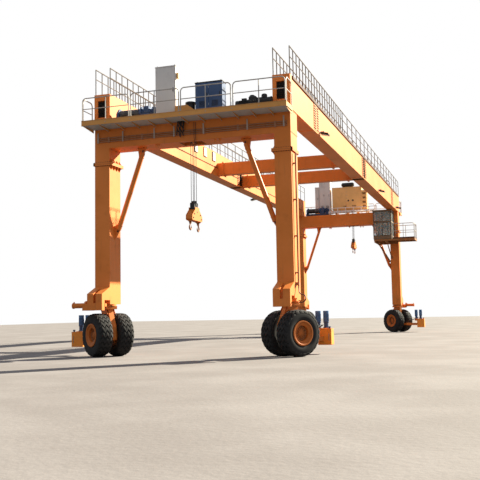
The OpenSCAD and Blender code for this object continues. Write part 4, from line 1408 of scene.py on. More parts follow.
@dataclass
class Winch:
    """Rope drum between flanges, gearbox, brake and motor on a base frame."""

    end: End
    x0: float = -3.10
    shaft: float = 0.33
    turns: int = 30
    lay: float = 0.0265

    def build(self) -> None:
        """Makes the winch over its plain solid; the shaft's height is over the base frame.

        The rope is a helix: k turns along, it stands at lay * k and at the angle 360 * k round the drum.
        """
        y, z0 = S.leg_y - 0.30, S.beam_top + 0.108
        frame = end_frame(self.end) @ Matrix.Translation((self.x0, y, z0))
        body, dark, rope, bolts = Shape(), Shape(), Shape(), Shape()
        for yy in (-0.20, 0.12):
            body.block((0.04, yy, -0.10), (1.86, yy + 0.08, 0.0), 0.004)
        for yy in (-0.24, 0.20):
            for z in (0.0, 0.082):
                body.block((0, yy - 0.02, z), (1.9, yy + 0.06, z + 0.008), 0.002)
            body.block((0, yy, 0.008), (1.9, yy + 0.012, 0.082), 0.002)
        for x in (0.0, 0.5, 1.0, 1.46, 1.888):
            body.block((x, -0.22, 0.008), (x + 0.012, 0.22, 0.086), 0.002)
        axis, half = self.shaft, 0.035
        for x, out in ((0.06, -1), (1.13, 1)):
            arch = [(-0.21, 0.09), (0.21, 0.09), (0.21, 0.12)]
            arch += arc((0, axis), 0.16, 0, 180, 12) + [(-0.21, 0.12)]
            body.prism(arch, 2 * half, Matrix.Translation((x, 0, 0)) @ YZ)
            body.lathe([(0.12, 0), (0.12, 0.03), (0.05, 0.045), (0, 0.045)], 24,
                       along_x((x + half * (1 + out), 0, axis), out))
            for k in (-0.17, 0.17):
                bolts.bolt((x + half, k, 0.125), UP, 0.014)
        dark.lathe([(0.235, 0), (0.24, 0.008), (0.24, 0.052), (0.235, 0.06), (0.150, 0.06), (0.150, 0.94),
                    (0.235, 0.94), (0.24, 0.948), (0.24, 0.992), (0.235, 1.0)], 48, along_x((0.13, 0, axis)))
        k = np.arange(0, self.turns * 24) / 24.0
        coil = [0.205 + self.lay * k, 0.166 * np.cos(TAU * k), axis + 0.166 * np.sin(TAU * k)]
        rope.pipe(np.column_stack(coil), 0.013, 6)
        body.block((1.20, -0.19, 0.09), (1.42, 0.19, 0.56), 0.03)
        body.block((1.19, -0.21, 0.30), (1.43, 0.21, 0.325), 0.004)
        for x in np.linspace(1.215, 1.405, 4):
            for k in (-0.2, 0.2):
                bolts.bolt((x, k, 0.325), UP, 0.009)
        body.put(Motor(0.44, 0.135).shape(), Matrix.Translation((1.42, 0, axis)))
        for k in (-0.11, 0.03):
            body.block((1.50, k, 0.09), (1.78, k + 0.08, 0.20), 0.006)
        dark.lathe([(0.16, 0), (0.165, 0.01), (0.165, 0.05), (0.16, 0.06)], 32, along_x((1.83, 0, axis)))
        name = self.end.name.lower()
        for shape, label, finish in (
            (body, "winch_frame", F.NAVY), (dark, "winch_drum", F.NAVY), (rope, "drum_rope", F.ROPE),
            (bolts, "winch_bolts", F.STEEL)
        ):
            obj = shape.object(f"{label}_{name}", finish, frame=frame)
            if label == "winch_frame":
                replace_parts(obj, f"winch_{name}")


@dataclass
class Cabinet:
    """Steel cabinet: doors with hinges and handles, louvres with painted shade in their slits, lifting eyes,
    roof, plinth and a socket box.
    """

    name: str
    node: str
    end: End
    at: tuple[float, float, float]
    size: tuple[float, float, float]
    doors: int
    finish: Finish
    vents: bool = True
    roof: Finish | None = None
    side_box: bool = False

    def build(self) -> None:
        """Makes the cabinet in its own frame, its outer face towards local +Y."""
        w, d, h = self.size
        frame = end_frame(self.end) @ Matrix.Translation(self.at)
        body, small, dark, roof = Shape(), Shape(), Shape(), Shape()
        dark.block((0.02, 0.02, 0), (w - 0.02, d - 0.02, 0.06), 0.004)
        body.block((0, 0, 0.06), (w, d, h - 0.04), 0.008)
        roof.block((-0.015, -0.015, h - 0.04), (w + 0.015, d + 0.015, h), 0.008)
        lw = (w - 0.06) / self.doors
        for y, out in ((d, 1), (0.0, -1)):
            for i in range(self.doors):
                x = 0.03 + i * lw
                grip = x + lw - 0.075
                body.block(
                    (x + 0.006, y - 0.002 * out, 0.11), (x + lw - 0.006, y + 0.018 * out, h - 0.09), 0.005
                )
                dark.block(
                    (grip, y + 0.018 * out, h * 0.48), (grip + 0.025, y + 0.036 * out, h * 0.48 + 0.16), 0.005
                )
                for z in (0.25, h * 0.5, h - 0.25):
                    small.rod(
                        (x + 0.004, y + 0.014 * out, z), (x + 0.004, y + 0.014 * out, z + 0.08), 0.009, 8
                    )
                for z in np.arange(8) * 0.028 + 0.20 if self.vents else ():
                    x0, x1, top = x + lw * 0.25, x + lw * 0.75, z + 0.012
                    # Black slit under each louvre's lip: painted shade.
                    dark.block((x0, y + 0.016 * out, z), (x1, y + 0.021 * out, top), 0.001)
                    x0, x1 = x + lw * 0.23, x + lw * 0.77
                    body.block((x0, y + 0.017 * out, top), (x1, y + 0.027 * out, top + 0.005), 0.001)
        for x in (0.06, w - 0.06):
            for y in (0.06, d - 0.06):
                small.pipe(circle((x, y, h + 0.02), 0.02, 12, True), 0.006, 6, True)
        for k in range(5):
            z = h - 0.25 - k * 0.03
            # Black slits in both sides: painted shade for vent openings.
            dark.block((w - 0.002, d * 0.3, z), (w + 0.004, d * 0.7, z + 0.013), 0.001)
            dark.block((0.002, d * 0.3, z), (-0.004, d * 0.7, z + 0.013), 0.001)
        for shape, label, finish in (
            (body, "shell", self.finish), (roof, "roof", self.roof or self.finish),
            (small, "hinges", F.STEEL), (dark, "vents", F.BLACK),
        ):
            obj = shape.object(f"{self.name}_{label}", finish, frame=frame)
            if label == "shell" and self.node:
                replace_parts(obj, self.node)
        if self.side_box:
            box = Shape().block((w + 0.015, d - 0.16, h - 0.50), (w + 0.085, d - 0.06, h - 0.28), 0.006)
            box.block((w - 0.002, d - 0.13, h - 0.42), (w + 0.020, d - 0.09, h - 0.36), 0.002)
            box.object(f"{self.name}_socket_box", F.TAN, frame=frame)


@dataclass
class Generator:
    """Generator housing with door panels, two round openings, a slotted cooler and the muffler; the black
    inside the openings, in the front slits and behind the cooler's slats is painted shade.
    """

    w: float = 2.25
    d: float = 0.68
    h: float = 1.74
    cooler: float = 0.38
    holes: tuple[float, float] = (1.24, 1.58)
    x0: float = -1.13
    muffler_x: float = -0.44
    muffler_up: float = 0.22

    def _muffler(self) -> Shape:
        """Shell with seams and a tapered end, on its stand.

        Returns:
            The muffler in the portal's frame.
        """
        out = Shape()
        x0, y, low = self.muffler_x, S.leg_y + 0.40, S.machine_z + self.h
        z = low + self.muffler_up
        out.lathe([(0.0, -0.003), (0.09, -0.003), (0.104, 0.01), (0.104, 0.05), (0.150, 0.054), (0.165, 0.07),
                   (0.165, 0.86), (0.160, 0.87), (0.117, 0.950), (0.110, 0.955), (0.0, 0.955)],
                  40, along_x((x0, y, z)))
        for x in (0.12, 0.46, 0.80):
            out.lathe(
                [(0.155, 0), (0.169, 0.002), (0.169, 0.026), (0.155, 0.028)], 40, along_x((x0 + x, y, z))
            )
        for x in (-0.25, 0.30):
            out.block((x - 0.038, y - 0.063, low), (x + 0.038, y + 0.063, z - 0.13), 0.004)
            out.block((x - 0.06, y - 0.09, low), (x + 0.06, y + 0.09, low + 0.012), 0.003)
        return out

    def build(self) -> None:
        """Makes the housing over its solid."""
        frame = end_frame(End.REAR) @ Matrix.Translation((self.x0, S.leg_y + 0.06, S.machine_z))
        shell, dark, small = Shape(), Shape(), Shape()
        w, d, h, c = self.w, self.d, self.h, self.cooler
        for x0, x1 in ((0.04, 0.58), (0.62, 1.16), (1.20, 2.20)):
            shell.block((x0, d - 0.002, 0.10), (x1, d + 0.010, h - 0.08), 0.005)
            dark.block((x1 - 0.07, d + 0.008, h * 0.5), (x1 - 0.045, d + 0.024, h * 0.5 + 0.14), 0.004)
        for x0, x1 in ((0.03, 1.09), (1.13, 2.22)):
            for z0, z1 in ((0.09, 0.10), (h - 0.10, h - 0.09)):
                shell.block((x0, -0.004, z0), (x1, 0.002, z1), 0.001)
        for x in (0.02, 1.11, w - 0.02):
            shell.block((x - 0.008, -0.006, 0.07), (x + 0.008, 0.002, h - 0.05), 0.002)
        for x in self.holes:
            ring = Matrix.Translation((x, 0.0, 0.70)) @ Matrix.Rotation(math.pi / 2, 4, "X")
            shell.lathe(
                [(0.065, 0.0), (0.085, 0.0), (0.085, 0.008), (0.068, 0.010), (0.065, 0.008)][::-1], 32, ring
            )
            # Black disc in each round opening: painted shade for its inside.
            dark.lathe([(0.078, -0.004), (0.078, 0.009), (0.0, 0.009)], 32, ring)
        # Black slits across the front: painted shade for vent openings.
        for x in (0.86, 0.98, 1.50, 1.62, 1.74):
            for z in (0.24, 0.29):
                dark.block((x, -0.010, z), (x + 0.09, 0.002, z + 0.028), 0.002)
        for i in range(4):
            z = 0.13 + i * 0.33
            # Black sheet behind the cooler's slats: painted shade.
            dark.block((w + 0.062, 0.084, z + 0.002), (w + 0.298, 0.088, z + 0.158), 0.001)
            for k in range(5):
                shell.block(
                    (w + 0.062, 0.036, z + 0.012 + k * 0.032),
                    (w + 0.298, 0.070, z + 0.018 + k * 0.032), 0.001,
                )
        for z in np.arange(0.10, h - 0.42, 0.085):
            shell.prism([(0.0, z), (0.0, z - 0.05), (0.018, z - 0.055), (0.020, z - 0.050)], d - 0.20,
                        Matrix.Translation((w + c - 0.002, d - 0.10, 0)) @ XZ)
        for x in (0.03, 1.08, 1.14, 2.21):
            for z in np.linspace(0.14, h - 0.14, 7):
                small.bolt((x, -0.001, z), (0, -1, 0), 0.009)
        for x in (0.1, w - 0.1):
            small.pipe(circle((x, d / 2, h + 0.02), 0.04, 16, True), 0.01, 8, True)
        for k in range(3):
            shell.block((0.15 + 0.5 * k, 0.10, h - 0.002), (0.19 + 0.5 * k, d - 0.10, h + 0.012), 0.003)
        shell.object("generator_panels", F.TAN, frame=frame)
        dark.object("generator_openings", F.BLACK, frame=frame)
        small.object("generator_bolts", F.STEEL, frame=frame)
        self._muffler().object("muffler", F.BLACK, frame=end_frame(End.REAR))


@dataclass
class Hoist:
    """Ropes, upper sheaves, sheave box and hook block of one portal."""

    end: End
    falls: tuple[float, float] = (-0.04, 0.04)
    half_box: float = 0.085
    half_block: float = 0.13

    @property
    def x(self) -> float:
        """Middle of the hoist across the crane."""
        return 0.0 if self.end is End.FRONT else S.hoist_off

    @property
    def z(self) -> float:
        """Lowest point of the hooks."""
        return S.hook_z_front if self.end is End.FRONT else S.hook_z_rear

    @staticmethod
    def sheave(r: float, t: float) -> Shape:
        """A grooved sheave, its axis along local Z and its middle at the origin.

        Args:
            r: Radius at the bottom of the groove.
            t: Thickness.

        Returns:
            The sheave.
        """
        h = t / 2
        half = [(0.06, h), (0.06, h * 0.4), (r * 0.78, h * 0.4), (r * 0.82, h * 0.9), (r + 0.022, h * 0.9),
                (r + 0.020, h * 0.7), (r, h * 0.25)]
        prof = [(0.034, -h)] + [(a, -b) for a, b in half] + half[::-1] + [(0.034, h)]
        return Shape().lathe(prof, 40)

    def build(self) -> None:
        """Makes the hoist's pieces."""
        name, e = self.end.name.lower(), self.end
        place = end_frame(e) @ Matrix.Translation((self.x, 0, 0))
        body = f"hoist_block_{name}"
        zt = self.z + S.block_h
        low = zt - S.box_h + S.block_axle
        fy = S.sheave_d / 2 + S.rope_d / 2 + 0.0002
        ropes = Shape()
        for x in self.falls:
            for y in (-fy, fy):
                ropes.pipe([(x, y, S.sheave_z), (x, y, low)], S.rope_d / 2, 10)
        obj = ropes.object(f"hoist_ropes_{name}", F.ROPE, "", place)
        e.value * S.sy
        e.value * S.sy
        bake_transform(obj)
        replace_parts(obj, f"ropes_{name}")
        top, box, pins, block = Shape(), Shape(), Shape(), Shape()
        wheel = self.sheave(S.sheave_d / 2 - 0.004, 0.048)
        for x in self.falls:
            top.put(wheel, along_x((x, 0, S.sheave_z)))
            box.put(wheel, along_x((x, 0, low)))
        top.rod((-0.42, 0, S.sheave_z), (0.42, 0, S.sheave_z), 0.045, 20)
        z0, hb = zt - S.box_h, self.half_box
        yb = fy + S.rope_d / 2 + 0.012
        for s in (-1, 1):
            half = [(yb - 0.02, z0), (yb + 0.012, z0 + 0.06), (yb + 0.012, zt - 0.05), (yb - 0.02, zt - 0.02)]
            box.prism([(-yb + 0.02, z0)] + half + [(-a, b) for a, b in half[:0:-1]], 0.014,
                      Matrix.Translation((s * (hb - 0.007) - 0.007, 0, 0)) @ YZ)
            box.block((-hb + 0.006, s * yb, z0 + 0.03), (hb - 0.006, s * (yb + 0.010), zt - 0.05), 0.003)
            pins.lathe([(0.05, 0), (0.05, 0.016), (0.035, 0.022), (0, 0.022)], 24,
                       along_x((s * hb, 0, low), s))
        box.block((-hb + 0.006, -yb, z0 + 0.002), (hb - 0.006, yb, z0 + 0.02), 0.004)
        zb, zc = self.z, self.z + S.block_h - S.box_h
        cheek = [(-0.46, zb + 0.38), (0.46, zb + 0.38), (0.52, zb + 0.42), (0.50, zb + 0.57),
                 (0.21, zc + 0.02), (0.21, zc + 0.10), (-0.21, zc + 0.10), (-0.21, zc + 0.02),
                 (-0.50, zb + 0.57), (-0.52, zb + 0.42)]
        inner = [(a * 0.97, zb + 0.385 + (b - zb - 0.38) * 0.98) for a, b in cheek[:5]]
        inner += [(0.20, zc - 0.002), (-0.20, zc - 0.002)]
        inner += [(-a, b) for a, b in inner[4:1:-1]]
        w = self.half_block
        for s in (-1, 1):
            block.prism(cheek, 0.022, Matrix.Translation((s * (w - 0.011) - 0.011, 0, 0)) @ YZ)
            for y, z in ((-0.40, 0.47), (0.40, 0.47), (-0.30, 0.62), (0.30, 0.62)):
                pins.bolt((s * w, y, zb + z), (s, 0, 0), 0.018)
            pins.lathe([(0.036, 0), (0.036, 0.006), (0.02, 0.010), (0, 0.010)], 24,
                       along_x((s * w, 0, zc - 0.06), s))
            block.block((-0.085, s * 0.39 - 0.085, zb + 0.352), (0.085, s * 0.39 + 0.085, zb + 0.384), 0.008)
        block.prism(inner, 2 * w - 0.036, Matrix.Translation((-w + 0.018, 0, 0)) @ YZ)
        top.object(f"upper_sheaves_{name}", F.BLACK, frame=place)
        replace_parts(box.object(f"sheave_case_{name}", F.BLACK, body, place), f"sheave_box_{name}")
        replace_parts(block.object(f"block_cheeks_{name}", F.ORANGE, body, place), f"hook_block_{name}")
        pins.object(f"block_pins_{name}", F.FORGED, body, place)


@dataclass
class Deck:
    """Railing, plate seams, channel lips and channel bolts of a winch deck."""

    end: End
    sections: int = 4
    plates: int = 8

    def build(self) -> None:
        """Makes the deck's railing and small parts."""
        name = self.end.name.lower()
        rail, bolts, plate = Shape(), Shape(), Shape()
        length, y, z, mid = 2 * S.deck_half / self.sections, S.deck_y1, S.deck_top, S.rail_h * 0.5
        for i in range(self.sections):
            x = -S.deck_half + i * length
            railing(rail, (x + 0.04, y - S.tube_r, z), (x + length - 0.04, y - S.tube_r, z), S.rail_h, mid, 3)
        low = S.plate_z
        for s in (-1, 1):
            x = s * (S.deck_half - S.tube_r)
            railing(rail, (x, S.leg_y + 0.08, low), (x, y - 0.09, low), S.rail_h + 0.02, mid, 2)
        for i in range(1, self.plates):
            x = -S.deck_half + i * 2 * S.deck_half / self.plates
            plate.block((x - 0.004, S.leg_y + 0.01, low - 0.001), (x + 0.004, y - 0.07, low + 0.003), 0.001)
            bolts.bolt((x, S.deck_y1, S.deck_z + S.deck_t / 2), OUTWARD, 0.010)
        x0 = -S.deck_half
        for z in (S.deck_z, S.deck_top - 0.012):
            plate.block((x0, S.deck_y1 - 0.002, z), (-x0, S.deck_y1 + 0.018, z + 0.012), 0.003)
        frame = end_frame(self.end)
        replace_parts(rail.object(f"deck_railing_{name}", F.ZINC, frame=frame), f"deck_rail_{name}")
        plate.object(f"deck_lips_{name}", F.DECK, frame=frame)
        bolts.object(f"deck_bolts_{name}", F.STEEL, frame=frame)


@dataclass
class FrontMachines:
    """Sloping brake hood with its round cap, and the black motor group, on the front deck."""

    cap: tuple[float, float] = (0.535, 0.21)
    axis: tuple[float, float] = (0.23, 0.20)

    def build(self) -> None:
        """Makes both over their solids."""
        f = end_frame(End.FRONT)
        hood, cap, black, bolts = Shape(), Shape(), Shape(), Shape()
        at = Matrix.Translation((-0.33, S.leg_y + 0.08, S.plate_z))
        side = [(0, 0), (0.75, 0), (0.75, 0.13), (0.48, 0.33), (0, 0.33)]
        hood.prism(side, 0.42, Matrix.Translation((0, 0.42, 0)) @ XZ)
        side = [(0.02, 0.03), (0.73, 0.03), (0.73, 0.11), (0.47, 0.30), (0.02, 0.30)]
        hood.prism(side, 0.436, Matrix.Translation((0, 0.428, 0)) @ XZ)
        x, y = self.cap
        cap.lathe([(0.165, 0.10), (0.165, 0.36), (0.17, 0.375), (0.195, 0.385), (0.195, 0.44), (0.185, 0.455),
                   (0.06, 0.46), (0, 0.46)], 40, Matrix.Translation((x, y, 0)))
        bolts.bolt_circle((x, y, 0.459), UP, 0.15, 12, 0.007)
        for x in (0.04, 0.24, 0.44):
            bolts.bolt((x, 0.421, 0.015), OUTWARD, 0.008)
        group = Matrix.Translation((1.92, S.leg_y + 0.01, S.plate_z))
        for y in (0.02, 0.38):
            black.block((0, y, 0), (1.39, y + 0.06, 0.06), 0.005)
        for x in (0.0, 0.47, 0.90, 1.32):
            black.block((x, 0.08, 0.004), (x + 0.07, 0.38, 0.056), 0.005)
        y, z = self.axis
        black.put(
            Motor(0.50, 0.138).shape(), Matrix.Translation((0.53, y, z)) @ Matrix.Rotation(math.pi, 4, "Z")
        )
        black.block((0.55, 0.04, 0.06), (0.84, 0.42, 0.42), 0.03)
        black.block((0.54, 0.02, 0.22), (0.85, 0.44, 0.245), 0.004)
        black.lathe([(0.16, 0), (0.16, 0.20), (0.145, 0.21), (0.145, 0.49), (0.16, 0.50), (0.16, 0.53),
                     (0.12, 0.545), (0, 0.55)], 36, along_x((0.84, y, z + 0.03)))
        for x in (0.64, 1.09):
            black.lathe([(0.105, 0.15), (0.105, 0.24), (0.10, 0.27), (0.075, 0.295), (0.03, 0.308),
                         (0, 0.309)], 32, Matrix.Translation((x, y, z)))
        for x in (0.12, 0.34, 0.95, 1.22):
            black.block((x, 0.13, 0.055), (x + 0.08, 0.33, 0.13), 0.006)
        for x in np.linspace(0.57, 0.82, 4):
            for y in (0.03, 0.43):
                bolts.put(Shape().bolt((x, y, 0.245), UP, 0.009), at.inverted() @ group)
        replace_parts(hood.object("hood_shell", F.DECK, frame=f @ at), "front_machines")
        cap.object("hood_cap", F.BLACK, frame=f @ at)
        bolts.object("machine_bolts", F.STEEL, frame=f @ at)
        black.object("motor_group_parts", F.BLACK, frame=f @ group)


@dataclass
class Hook:
    """Forged hook: a bar swept along shank and bow, thick at the saddle and thin at the tip."""

    end: End
    outer: bool
    radius: float = 0.09
    saddle: float = 0.12
    off: float = 0.39
    tip: float = 0.014
    swell: float = 0.016
    sides: int = 16

    def build(self) -> None:
        """Makes the hook, its latch and the collar on its shank.

        The bow's centre line is a circle of the radius; its section is an ellipse whose half axes grow
        from 0.014 m at the tip to 0.030 m at the saddle: a(t) = tip + swell * sin(0.9 * pi * t) ** 0.6.
        """
        name = f"{self.end.name.lower()}_{'outer' if self.outer else 'inner'}"
        hoist = Hoist(self.end)
        r, zc, out, n = self.radius, self.saddle, 1 if self.outer else -1, self.sides
        place = end_frame(self.end) @ Matrix.Translation((hoist.x, out * self.off, hoist.z))
        place = place @ Matrix.Diagonal((1, out, 1, 1))
        a = np.radians(np.linspace(-200, 50, 40))
        t = np.linspace(0, 1, 40)
        bow = np.column_stack([np.zeros(40), r * np.cos(a), zc + r * np.sin(a)])
        y, z = bow[-1, 1:]
        neck = np.array([[0, y * f, z + (1 - f) * 0.07] for f in (0.62, 0.30, 0.08)])
        shank = np.array([[0, 0, z] for z in (zc + 0.16, zc + 0.20, 0.37)])
        path = np.vstack([bow, neck, shank])
        wide = self.tip + self.swell * np.sin(math.pi * t * 0.9) ** 0.6
        wide = np.concatenate([wide, [0.026, 0.028, 0.029, 0.029, 0.029, 0.029]])
        tang = np.gradient(path, axis=0)
        tang /= np.linalg.norm(tang, axis=1)[:, None]
        side = np.array([1.0, 0.0, 0.0])
        outward = np.cross(tang, side)
        u = np.linspace(0, TAU, n, endpoint=False)[None, :, None]
        ring = path[:, None] + wide[:, None, None] * (np.cos(u) * side * 0.95 + np.sin(u) * outward[:, None])
        hook = Shape().grid(ring[:, ::-1], wrap_v=True)
        hook.faces.append(tuple(range(n)))
        last = (len(path) - 1) * n
        hook.faces.append(tuple(reversed(range(last, last + n))))
        hook.lathe(
            [(0.03, 0.315), (0.055, 0.318), (0.072, 0.330), (0.074, 0.360), (0.066, 0.376), (0.03, 0.378)], 6
        )
        hook.lathe([(0.02, 0.255), (0.045, 0.262), (0.052, 0.285), (0.045, 0.312), (0.02, 0.318)], 24)
        hook.pipe([(0, -0.045, zc + 0.085), (0, -0.068, zc + 0.055), (0, -0.080, zc + 0.035)], 0.007, 8)
        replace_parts(hook.object(f"forged_hook_{name}", F.HOOK, f"swivel_{name}", place), f"hook_{name}")


@dataclass
class CrossBeam:
    """Flange bolts under the girders, seams, hanging cables, pipe straps and brace fittings of a portal."""

    end: End
    straps: tuple[float, ...] = (-3.75, -2.70, -1.40, -0.60, 0.57, 2.26, 3.62)
    brace_reach: float = 1.5
    brace_z: float = 4.81
    bundle: int = 14
    pipes: tuple[float, ...] = (0.25, 0.32, 0.39)
    pipe_length: float = 1.5

    def _cables(self, dark: Shape) -> None:
        """Adds the bundle over the beam's outer face and the two thin cables beside it.

        A cable of the bundle falls evenly with t from 0 to 1, bows out by sin(pi * t) and sways by
        t * sin(5 * t + k).

        Args:
            dark: Where they are added.
        """
        rng = np.random.default_rng(5)
        face, t = S.leg_y, np.linspace(0, 1, 18)
        for k in range(self.bundle):
            x = -0.40 + 0.02 * k + 0.05 * np.sin(5 * t + k) * t
            z = S.beam_z + 0.80 + 0.05 * rng.random()
            y = face + 0.06 + 0.10 * np.sin(math.pi * t) + 0.005 * (k % 4)
            dark.pipe(np.column_stack([x, y, z - t * (0.40 + 0.25 * rng.random())]), 0.014, 6)
        for x in (0.24, 0.30):
            dark.pipe([(x, face + 0.075, S.deck_z - 0.05), (x, face + 0.08, S.beam_z + 0.1),
                       (x, face + 0.03, S.beam_z - 0.03), (x, face + 0.02, S.beam_z - 0.16)], 0.009, 6)

    def build(self) -> None:
        """Makes the portal's small parts."""
        f = end_frame(self.end)
        name = self.end.name.lower()
        plates, bolts, dark, zinc, joints = Shape(), Shape(), Shape(), Shape(), Shape()
        for s in (-1, 1):
            for x in np.linspace(-0.26, 0.26, 5):
                bolts.bolt((s * S.sx + x, S.leg_y, S.beam_top - 0.05), OUTWARD, 0.012)
            for z in (S.beam_z + 0.02, S.beam_top - 0.03):
                x = S.sx + S.leg_w / 2
                plates.block((s * (x - 0.003), S.leg_y - S.beam_d + 0.02, z - 0.01),
                             (s * (x + 0.012), S.leg_y - 0.02, z + 0.01), 0.003)
            for x in (s * (S.sx - self.brace_reach - 0.05), s * (S.sx - self.brace_reach + 0.18)):
                for y in (-0.05, 0.05):
                    bolts.bolt((x, y, S.beam_z - 0.002), DOWN, 0.012)
            top = np.array([s * (S.sx - self.brace_reach), 0, S.beam_z - 0.19])
            low = np.array([s * (S.sx - S.leg_w / 2 - 0.15), 0, self.brace_z])
            d = (top - low) / np.linalg.norm(top - low)
            for p, q in ((low + d * 0.16, low + d * 0.20), (top - d * 0.16, top - d * 0.20)):
                plates.rod(p, q, 0.104, 28, 0.006)
            for k in (low + d * 0.02, low - d * 0.06, top - d * 0.02, top + d * 0.06):
                for y in (-1, 1):
                    bolts.bolt((k[0], y * 0.031, k[2]), (0, y, 0), 0.020)
        for s in (-1, 1):
            x = S.hoist_off * (self.end is End.REAR) + s * 0.42
            dark.block((x - 0.01, -0.27, S.beam_z - 0.006), (x + 0.01, 0.27, S.beam_z + 0.004), 0.002)
        if self.end is End.FRONT:
            self._cables(dark)
        y, low = S.leg_y, S.beam_z
        for z in self.pipes:
            for x in np.arange(-3.0, 3.2, self.pipe_length):
                joints.rod((x, y + 0.04, low + z), (x + 0.09, y + 0.04, low + z), 0.027, 14, 0.003)
        for x in self.straps:
            zinc.block((x + 0.008, y + 0.058, low + 0.20), (x + 0.062, y + 0.078, low + 0.60), 0.003)
            for z in (low + 0.225, low + 0.575):
                zinc.bolt((x + 0.035, y + 0.078, z), OUTWARD, 0.009)
        plates.object(f"portal_plates_{name}", F.ORANGE, frame=f)
        bolts.object(f"portal_bolts_{name}", F.FORGED, frame=f)
        dark.object(f"portal_cables_{name}", F.HOSE, frame=f)
        zinc.object(f"pipe_straps_{name}", F.STRAP, frame=f)
        joints.object(f"pipe_joints_{name}", F.PIPE, frame=f)


@dataclass
class Cab:
    """Operator's cab: window bars with rubber seals, seat, levers, wipers, roof plate and platform parts."""

    width: float = 1.3
    depth: float = 1.5
    height: float = 2.10
    floor: float = 6.65
    post: float = 0.06
    sill: float = 0.26
    band: float = 1.18
    past_leg: float = 1.63
    inboard: float = 1.275
    off_leg: float = 0.14
    rail_h: float = 1.10
    rail_mid: float = 0.57

    def build(self) -> None:
        """Makes the cab's looks round its plain frame."""
        x0, y1 = S.sx - self.inboard, S.sy - S.leg_y - self.off_leg
        y0 = y1 - self.depth
        at = Matrix.Translation((x0, y0, self.floor))
        w, d, h, p = self.width, self.depth, self.height, self.post
        seal, panel, seat, zinc, plate = Shape(), Shape(), Shape(), Shape(), Shape()
        panes = ((self.sill, self.band), (self.band + 0.11, h - 0.12))
        for z0, z1 in panes:
            for z in (z0, z1):
                seal.block((p, -0.004, z - 0.010), (w - p, 0.024, z + 0.010), 0.003)
            for x in (p, w * 0.5, w - p):
                seal.block((x - 0.010, -0.004, z0), (x + 0.010, 0.024, z1), 0.003)
            for lo, hi in ((-0.004, 0.0), (w - 0.024, w + 0.004)):
                for y in (p, d * 0.52, d - p):
                    seal.block((lo, y - 0.010, z0), (hi, y + 0.010, z1), 0.003)
                for z in (z0, z1):
                    seal.block((lo, p, z - 0.010), (hi, d - p, z + 0.010), 0.003)
        for x in (0.35, 0.95):
            seal.pipe([(x, -0.012, 0.34), (x + 0.06, -0.016, 0.6), (x + 0.14, -0.014, 0.95)], 0.008, 6)
            seal.block((x + 0.10, -0.016, 0.70), (x + 0.12, -0.002, 1.10), 0.002)
        panel.block((0.1, 0.1, h - 0.01), (w - 0.1, d - 0.1, h + 0.018), 0.008)
        seat.block((0.43, 0.68, 0.42), (0.87, 1.13, 0.56), 0.04)
        seat.block((0.44, 1.06, 0.54), (0.86, 1.18, 1.18), 0.04)
        for x in (0.28, 0.92):
            seat.block((x, 0.45, 0.10), (x + 0.14, 0.75, 0.80), 0.02)
            seat.rod((x + 0.07, 0.6, 0.80), (x + 0.07, 0.6, 0.94), 0.012, 10)
            seat.rod((x + 0.07, 0.6, 0.93), (x + 0.07, 0.6, 0.98), 0.022, 12, 0.008)
        pz = self.floor - 0.02
        xs, xe = x0 + w + 0.04, S.sx + self.past_leg
        xa, xb = xs + S.tube_r, xe - S.tube_r
        for a, b in (((xa, y0 - 0.039), (xb, y0 - 0.039)), ((xa, y1 + 0.039), (xb, y1 + 0.039)),
                     ((xb, y0 + 0.005), (xb, y1 - 0.005))):
            railing(zinc, (*a, pz), (*b, pz), self.rail_h, self.rail_mid, 3)
        plate.block((xe - 0.006, y0 - 0.05, pz), (xe - 0.002, y1 + 0.05, pz + 0.10), 0.001)
        for y in (y0 - 0.058, y1 + 0.054):
            plate.block((xs, y, pz), (xe - 0.01, y + 0.004, pz + 0.10), 0.001)
        seal.object("cab_seals", F.HOSE, frame=at)
        panel.object("cab_roof_plate", F.CAB, frame=at)
        seat.object("cab_seat", F.BLACK, frame=at)
        plate.object("platform_kick_plates", F.TROUGH)
        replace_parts(zinc.object("platform_railing", F.ZINC), "cab_platform_rail")


@dataclass
class Lamps:
    """Floodlights on the girders' outer faces and the upright lamps on the left girder's inner face."""

    at_y: tuple[float, ...] = (-11.3, 5.4, 13.9)
    inner_y: tuple[float, ...] = (-7.09, -5.80, -4.53)
    inner_z: float = 9.50
    tilt: float = 12.0

    def build(self) -> None:
        """Makes lamps, brackets and glass."""
        body, glass, zinc = Shape(), Shape(), Shape()
        for s in (-1, 1):
            for y in self.at_y:
                g = Matrix.Translation((s * (S.sx + S.girder_w / 2), y, S.beam_top + 0.13))
                g = g @ Matrix.Diagonal((s, 1, 1, 1))
                f = g @ Matrix.Translation((0.06, 0, 0)) @ Matrix.Rotation(math.radians(self.tilt), 4, "Y")
                lamp = Shape().block((0.004, -0.166, -0.060), (0.336, 0.166, -0.004), 0.012)
                lamp.block((0.0, -0.17, -0.080), (0.34, 0.17, -0.058), 0.004)
                for k in range(9):
                    lamp.block((0.03, -0.146 + 0.036 * k, -0.006), (0.31, -0.141 + 0.036 * k, 0.010), 0.001)
                body.put(lamp, f)
                glass.put(Shape().block((0.02, -0.15, -0.083), (0.32, 0.15, -0.079), 0.001), f)
                zinc.put(Shape().block((-0.002, -0.08, -0.03), (0.008, 0.08, 0.09), 0.002), g)
                zinc.put(Shape().block((0.0, -0.032, -0.004), (0.2, 0.032, 0.052), 0.003), g)
        inner, z = -S.sx + S.girder_w / 2, self.inner_z
        for y in self.inner_y:
            body.block((inner - 0.002, y - 0.20, z), (inner + 0.035, y + 0.20, z + 0.48), 0.03)
            glass.block((inner + 0.020, y - 0.175, z + 0.025), (inner + 0.045, y + 0.175, z + 0.455), 0.02)
        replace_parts(body.object("flood_housings", F.BLACK), "floodlights")
        glass.object("flood_glass", F.LAMP)
        zinc.object("flood_brackets", F.ZINC)


